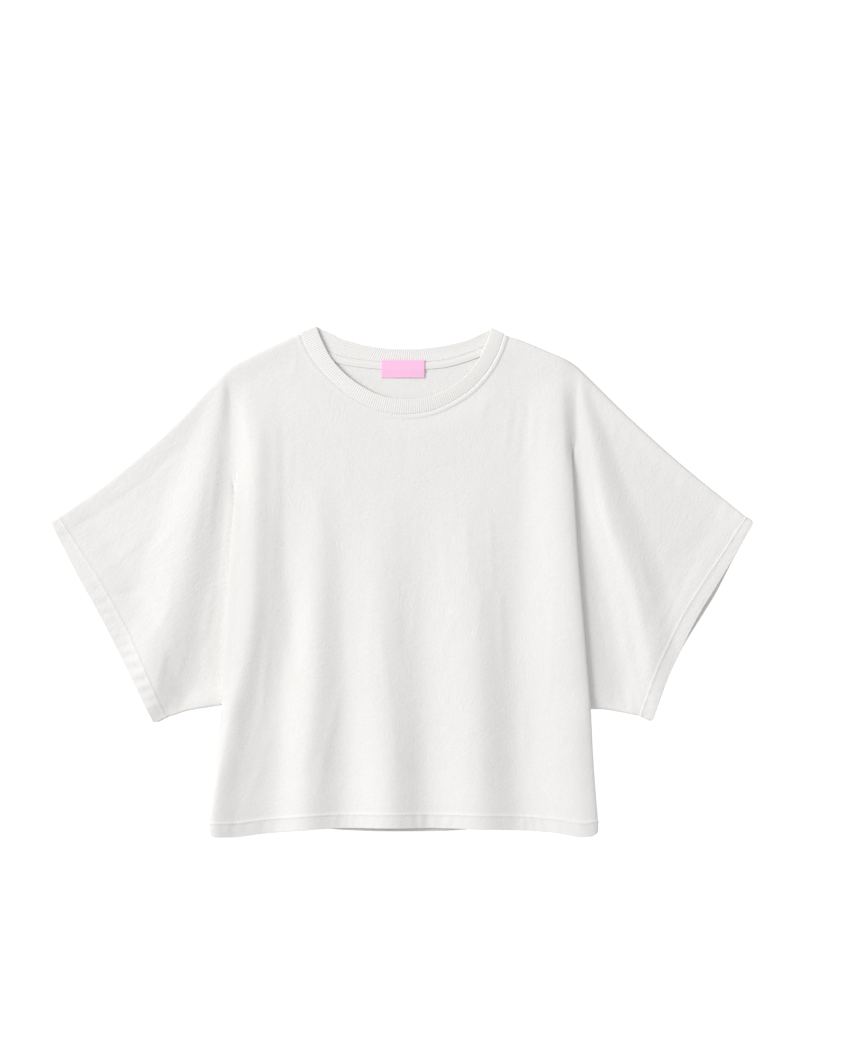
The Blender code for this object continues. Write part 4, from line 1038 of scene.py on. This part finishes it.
def rib_tree():
    """Raises round ribs along a knitted band: Pitch and Height in metres."""
    tree, start, end = new_tree("rib_knit", [
        ("Pitch", "NodeSocketFloat", RIB_PITCH * MM), ("Height", "NodeSocketFloat", RIB_HEIGHT * MM),
        ("Material", "NodeSocketMaterial", None)])
    along = add(tree, "GeometryNodeInputNamedAttribute", {"data_type": "FLOAT"}, Name="along_mm")
    face = add(tree, "GeometryNodeInputNamedAttribute", {"data_type": "FLOAT"}, Name="knit")
    # a wave along the band from 0 to 1, times the share that shows and the height
    value = along.outputs["Attribute"]
    for operation, *others in (("MULTIPLY", MM * math.tau), ("DIVIDE", start.outputs["Pitch"]), ("COSINE",),
                               ("MULTIPLY_ADD", 0.5, 0.5), ("MULTIPLY", face.outputs["Attribute"]),
                               ("MULTIPLY", start.outputs["Height"])):
        inputs = {"i%d" % number: other for number, other in enumerate(others, 1)}
        value = add(tree, "ShaderNodeMath", {"operation": operation}, i0=value, **inputs).outputs[0]
    normal = add(tree, "GeometryNodeInputNormal")
    offset = add(tree, "ShaderNodeVectorMath", {"operation": "SCALE"}, i0=normal.outputs[0], Scale=value)
    moved = add(tree, "GeometryNodeSetPosition", None,
                Geometry=start.outputs["Geometry"], Offset=offset.outputs[0])
    return finish_tree(tree, moved.outputs[0], start, end)


def stitch_tree():
    """Lays thread stitches end to end along edge paths: sizes in metres."""
    tree, start, end = new_tree("stitch_row", [
        ("Pitch", "NodeSocketFloat", STITCH_PITCH * MM), ("Length", "NodeSocketFloat", STITCH_LENGTH * MM),
        ("Thickness", "NodeSocketFloat", THREAD * MM), ("Material", "NodeSocketMaterial", None)])
    path = add(tree, "GeometryNodeMeshToCurve", None, Mesh=start.outputs["Geometry"])
    points = add(tree, "GeometryNodeCurveToPoints", {"mode": "LENGTH"}, Curve=path.outputs[0],
                 Length=start.outputs["Pitch"])
    thread = add(tree, "GeometryNodeMeshUVSphere", None, Segments=6, Rings=4, Radius=0.5)
    size = add(tree, "ShaderNodeCombineXYZ", None, X=start.outputs["Length"], Y=start.outputs["Thickness"],
               Z=start.outputs["Thickness"])
    turned = add(tree, "FunctionNodeAlignRotationToVector", {"axis": "X"}, Vector=points.outputs["Tangent"])
    laid = add(tree, "GeometryNodeInstanceOnPoints", None, Points=points.outputs["Points"],
               Instance=thread.outputs["Mesh"], Rotation=turned.outputs[0], Scale=size.outputs[0])
    return finish_tree(tree, laid.outputs[0], start, end)


def stitching(name, paths, lift, tree, material):
    """Rows of stitches along paths of points in millimetres, lifted off the cloth."""
    vertices = []
    edges = []
    for path in paths:
        first = len(vertices)
        vertices += [(x * MM, y * MM, (z + lift) * MM) for x, y, z in path]
        edges += [(number, number + 1) for number in range(first, len(vertices) - 1)]
    mesh = bpy.data.meshes.new(name)
    mesh.from_pydata(vertices, edges, [])
    return apply_tree(placed(name, mesh), tree, material)


# ---------------------------------------------------------------- materials
FUZZ = 2.0              # tufts of loose fibre on the rib
TWIST = 1.1111          # turns of the thread's plies, coarser than real, so that they show
WEFT = 1.9635           # cross ribs of the label, coarser than real, so that they show
SLUB = 3.3333           # thick places in its yarn
GRAIN = 1.1111          # the frosted face of the light table
WAVE_LENGTH = math.tau / 20     # of a wave texture whose scale is 1
SLEEVE_CRINKLE_X = ((-172, -192), (180, 200))   # over these the body's crinkle goes over to a sleeve's


def srgb(text):
    """An sRGB hex colour as the linear colour that a shader takes."""
    parts = [int(text[index:index + 2], 16) / 255 for index in (1, 3, 5)]
    linear = [part / 12.92 if part <= 0.04045 else ((part + 0.055) / 1.055) ** 2.4 for part in parts]
    return (*linear, 1.0)


def new_material(name):
    """A material with an empty tree, and the Object coordinates for its patterns."""
    material = bpy.data.materials.new(name)
    material.use_nodes = True
    material.node_tree.nodes.clear()
    return material, material.node_tree, add(material.node_tree, "ShaderNodeTexCoord").outputs["Object"]


def finish_material(tree, pattern, tones, bump=None, **values):
    """Colours the surface between two tones by the pattern and raises it by the same one.

    Each tone is its place on the ramp and its colour, bump is a strength and a
    height in millimetres, and values are the shader's own inputs.
    """
    ramp = add(tree, "ShaderNodeValToRGB", None, Fac=pattern)
    for element, (place, colour) in zip(ramp.color_ramp.elements, tones):
        element.position = place
        element.color = srgb(colour)
    if bump:
        raised = add(tree, "ShaderNodeBump", None, Height=pattern, Strength=bump[0], Distance=bump[1] * MM)
        values["Normal"] = raised.outputs[0]
    shader = add(tree, "ShaderNodeBsdfPrincipled", None, Base_Color=ramp.outputs[0], **values)
    add(tree, "ShaderNodeOutputMaterial", None, Surface=shader.outputs[0])


def jersey_material():
    """Cotton single jersey, piece dyed off-white: matte, softly fuzzy, crinkled by washing.

    The knit itself is too fine to show, so the pattern is the crinkle alone.
    """
    material, tree, place = new_material("cotton_jersey_washed")
    crinkles = []
    # size in mm, how many times it is drawn out along a direction in degrees, distortion:
    # along the courses, along the wales, on the left and on the right sleeve
    for size, length, turn, bend in ((2.4, 1.6, 4, 1.0), (2.4, 2.3, 91, 0.8), (2.5, 2.1, 40, 0.9),
                                     (2.5, 1.9, 52, 0.9)):
        drawn = add(tree, "ShaderNodeMapping", {"vector_type": "TEXTURE"}, Vector=place,
                    Rotation=(0.0, 0.0, math.radians(turn)), Scale=(length, 1.0, 1.0))
        crinkle = add(tree, "ShaderNodeTexNoise", None, Vector=drawn.outputs[0],
                      Scale=1.0 / (size * MM), Detail=2.0, Roughness=0.55, Distortion=bend)
        crinkles.append(crinkle.outputs["Fac"])
    patches = add(tree, "ShaderNodeTexNoise", None, Vector=place, Scale=1.0 / (48.0 * MM), Detail=1.0)
    patchy = add(tree, "ShaderNodeMapRange", {"interpolation_type": "SMOOTHSTEP"},
                 Value=patches.outputs["Fac"], From_Min=0.46, From_Max=0.66)
    shares = [patchy.outputs[0]]
    x = add(tree, "ShaderNodeSeparateXYZ", None, Vector=place).outputs[0]
    for start, end in SLEEVE_CRINKLE_X:
        side = add(tree, "ShaderNodeMapRange", None, Value=x, From_Min=start * MM, From_Max=end * MM)
        shares.append(side.outputs[0])
    relief = crinkles[0]
    for share, other in zip(shares, crinkles[1:]):
        relief = add(tree, "ShaderNodeMix", None, i0=share, i2=relief, i3=other).outputs[0]
    finish_material(tree, relief, ((0.3, "#E9E8E6"), (0.7, "#EEECEA")), (0.6, 0.6), Roughness=0.9,
                    Sheen_Weight=0.12, Sheen_Roughness=0.5, Specular_IOR_Level=0.2)
    return material


def rib_material():
    """The same cotton knitted as 1x1 rib: denser, so a touch lighter, with a fuzz of loose fibres."""
    material, tree, place = new_material("cotton_rib_knit")
    fuzz = add(tree, "ShaderNodeTexNoise", None, Vector=place, Scale=1.0 / (FUZZ * MM), Detail=2.0,
               Roughness=0.6)
    finish_material(tree, fuzz.outputs["Fac"], ((0.3, "#EBE9E7"), (0.7, "#F0EEEC")), (0.25, 0.4),
                    Roughness=0.92, Sheen_Weight=0.12, Sheen_Roughness=0.5, Specular_IOR_Level=0.2)
    return material


def thread_material():
    """Mercerised cotton sewing thread in the cloth's own white, slightly glossier."""
    material, tree, place = new_material("cotton_sewing_thread")
    twist = add(tree, "ShaderNodeTexNoise", None, Vector=place, Scale=1.0 / (TWIST * MM), Detail=1.0)
    finish_material(tree, twist.outputs["Fac"], ((0.0, "#ECEAE8"), (1.0, "#F4F2F0")),
                    Roughness=0.6, Specular_IOR_Level=0.35)
    return material


def label_material():
    """Polyester damask label tape, woven satin: fine cross ribs, soft sheen, pale pink."""
    material, tree, place = new_material("polyester_woven_satin")
    weft = add(tree, "ShaderNodeTexWave", {"bands_direction": "Y"}, Vector=place,
               Scale=WAVE_LENGTH / (WEFT * MM), Distortion=0.4)
    slub = add(tree, "ShaderNodeTexNoise", None, Vector=place, Scale=1.0 / (SLUB * MM), Detail=2.0)
    mix = add(tree, "ShaderNodeMath", {"operation": "ADD"}, i0=weft.outputs["Fac"], i1=slub.outputs["Fac"])
    finish_material(tree, mix.outputs[0], ((0.4, "#FDBFE4"), (1.0, "#FFC7EC")), (0.12, 0.2),
                    Roughness=0.55, Sheen_Weight=0.2)
    return material


def floor_material():
    """A light table of opal acrylic glass: lit from below, so next to no shadow stays on it."""
    material, tree, place = new_material("opal_acrylic_light_table")
    grain = add(tree, "ShaderNodeTexNoise", None, Vector=place, Scale=1.0 / (GRAIN * MM), Detail=1.0)
    finish_material(tree, grain.outputs["Fac"], ((0.0, "#A0A0A0"), (1.0, "#A4A4A4")),
                    Emission_Color=srgb("#FFFFFF"), Emission_Strength=0.82,
                    Roughness=1.0, Specular_IOR_Level=0.0)
    return material


# ---------------------------------------------------------------- stage
PHOTO_MM_PER_PIXEL = 1.05
PHOTO_SIZE = (856, 1052)
PHOTO_ORIGIN_PIXEL = (402.0, 580.75)   # the frame's origin in the photo
TRUE_SCALE_Z = 0.004                   # metres; height at which the camera shows the photo's scale
LENS_MM = 100.0
SENSOR_MM = 36.0
FLOOR_HALF = 4.0                       # metres
FLOOR_Z = -0.0004                      # just under the cloth
KEY_FROM = (-0.78, 0.34, 0.58)         # towards the key light, upper left of the photo
KEY_DISTANCE = 8.0                     # metres; its fall-off leaves the right sleeve a little darker
KEY_SIZE = 4.3                         # metres across, about 30 degrees of sky
KEY_WATTS = 512.0
WORLD_STRENGTH = 0.575


def stage():
    """The light table, the key light, the sky and the camera that looks straight down."""
    scene = bpy.context.scene
    mesh = bpy.data.meshes.new("paper_floor")
    corners = ((-1, -1), (1, -1), (1, 1), (-1, 1))
    mesh.from_pydata([(x * FLOOR_HALF, y * FLOOR_HALF, FLOOR_Z) for x, y in corners], [], [(0, 1, 2, 3)])
    mesh.materials.append(floor_material())
    placed("paper_floor", mesh)

    key = placed("key_light", bpy.data.lights.new("key_light", "AREA"))
    key.data.shape = "DISK"
    key.data.size = KEY_SIZE
    key.data.energy = KEY_WATTS
    key.location = Vector(KEY_FROM).normalized() * KEY_DISTANCE
    key.rotation_euler = Vector(KEY_FROM).to_track_quat("Z", "Y").to_euler()
    world = bpy.data.worlds.new("studio")
    world.use_nodes = True
    sky = world.node_tree.nodes["Background"]
    sky.inputs["Color"].default_value = srgb("#FFFFFF")
    sky.inputs["Strength"].default_value = WORLD_STRENGTH
    scene.world = world
    scene.view_settings.view_transform = "Standard"
    scene.view_settings.look = "None"

    camera = placed("camera", bpy.data.cameras.new("camera"))
    camera.data.lens = LENS_MM
    camera.data.sensor_width = SENSOR_MM
    camera.data.clip_end = 50.0
    frame_height = PHOTO_SIZE[1] * PHOTO_MM_PER_PIXEL * MM
    middle_x = (PHOTO_SIZE[0] / 2 - PHOTO_ORIGIN_PIXEL[0]) * PHOTO_MM_PER_PIXEL * MM
    middle_y = (PHOTO_ORIGIN_PIXEL[1] - PHOTO_SIZE[1] / 2) * PHOTO_MM_PER_PIXEL * MM
    camera.location = (middle_x, middle_y, frame_height * LENS_MM / SENSOR_MM + TRUE_SCALE_Z)
    camera.rotation_euler = (0.0, 0.0, 0.0)
    scene.camera = camera


# ---------------------------------------------------------------- the shirt
def main():
    """Makes the pieces, hangs each on the root body and hides the model's parts that they stand in for."""
    jersey = jersey_material()
    rib = rib_material()
    thread = thread_material()
    front, paths = front_panel(jersey)
    back = back_panel(jersey)
    band = apply_tree(neck_rib(rib), rib_tree(), rib)
    tape, paths["tape"] = neck_tape(rib)
    tag = label(label_material())
    rows = stitch_tree()
    seams = []
    for name, lift in (("hem", STITCH_LIFT), ("left_cuff", 2 * STITCH_LIFT), ("right_cuff", STITCH_LIFT),
                       ("neck", STITCH_LIFT), ("tape", STITCH_LIFT)):
        seams.append(stitching(name + "_stitching", paths[name], lift, rows, thread))
    for piece, node, slot in ((front, "front_panel", "jersey"), (back, "back_panel", "jersey"),
                              (band, "neck_rib", "rib"), (tape, "neck_tape", "tape"),
                              (tag, "label", "label_satin")):
        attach(piece, "root")
        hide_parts(node)
    for piece in seams:
        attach(piece, "root")


main()
stage()
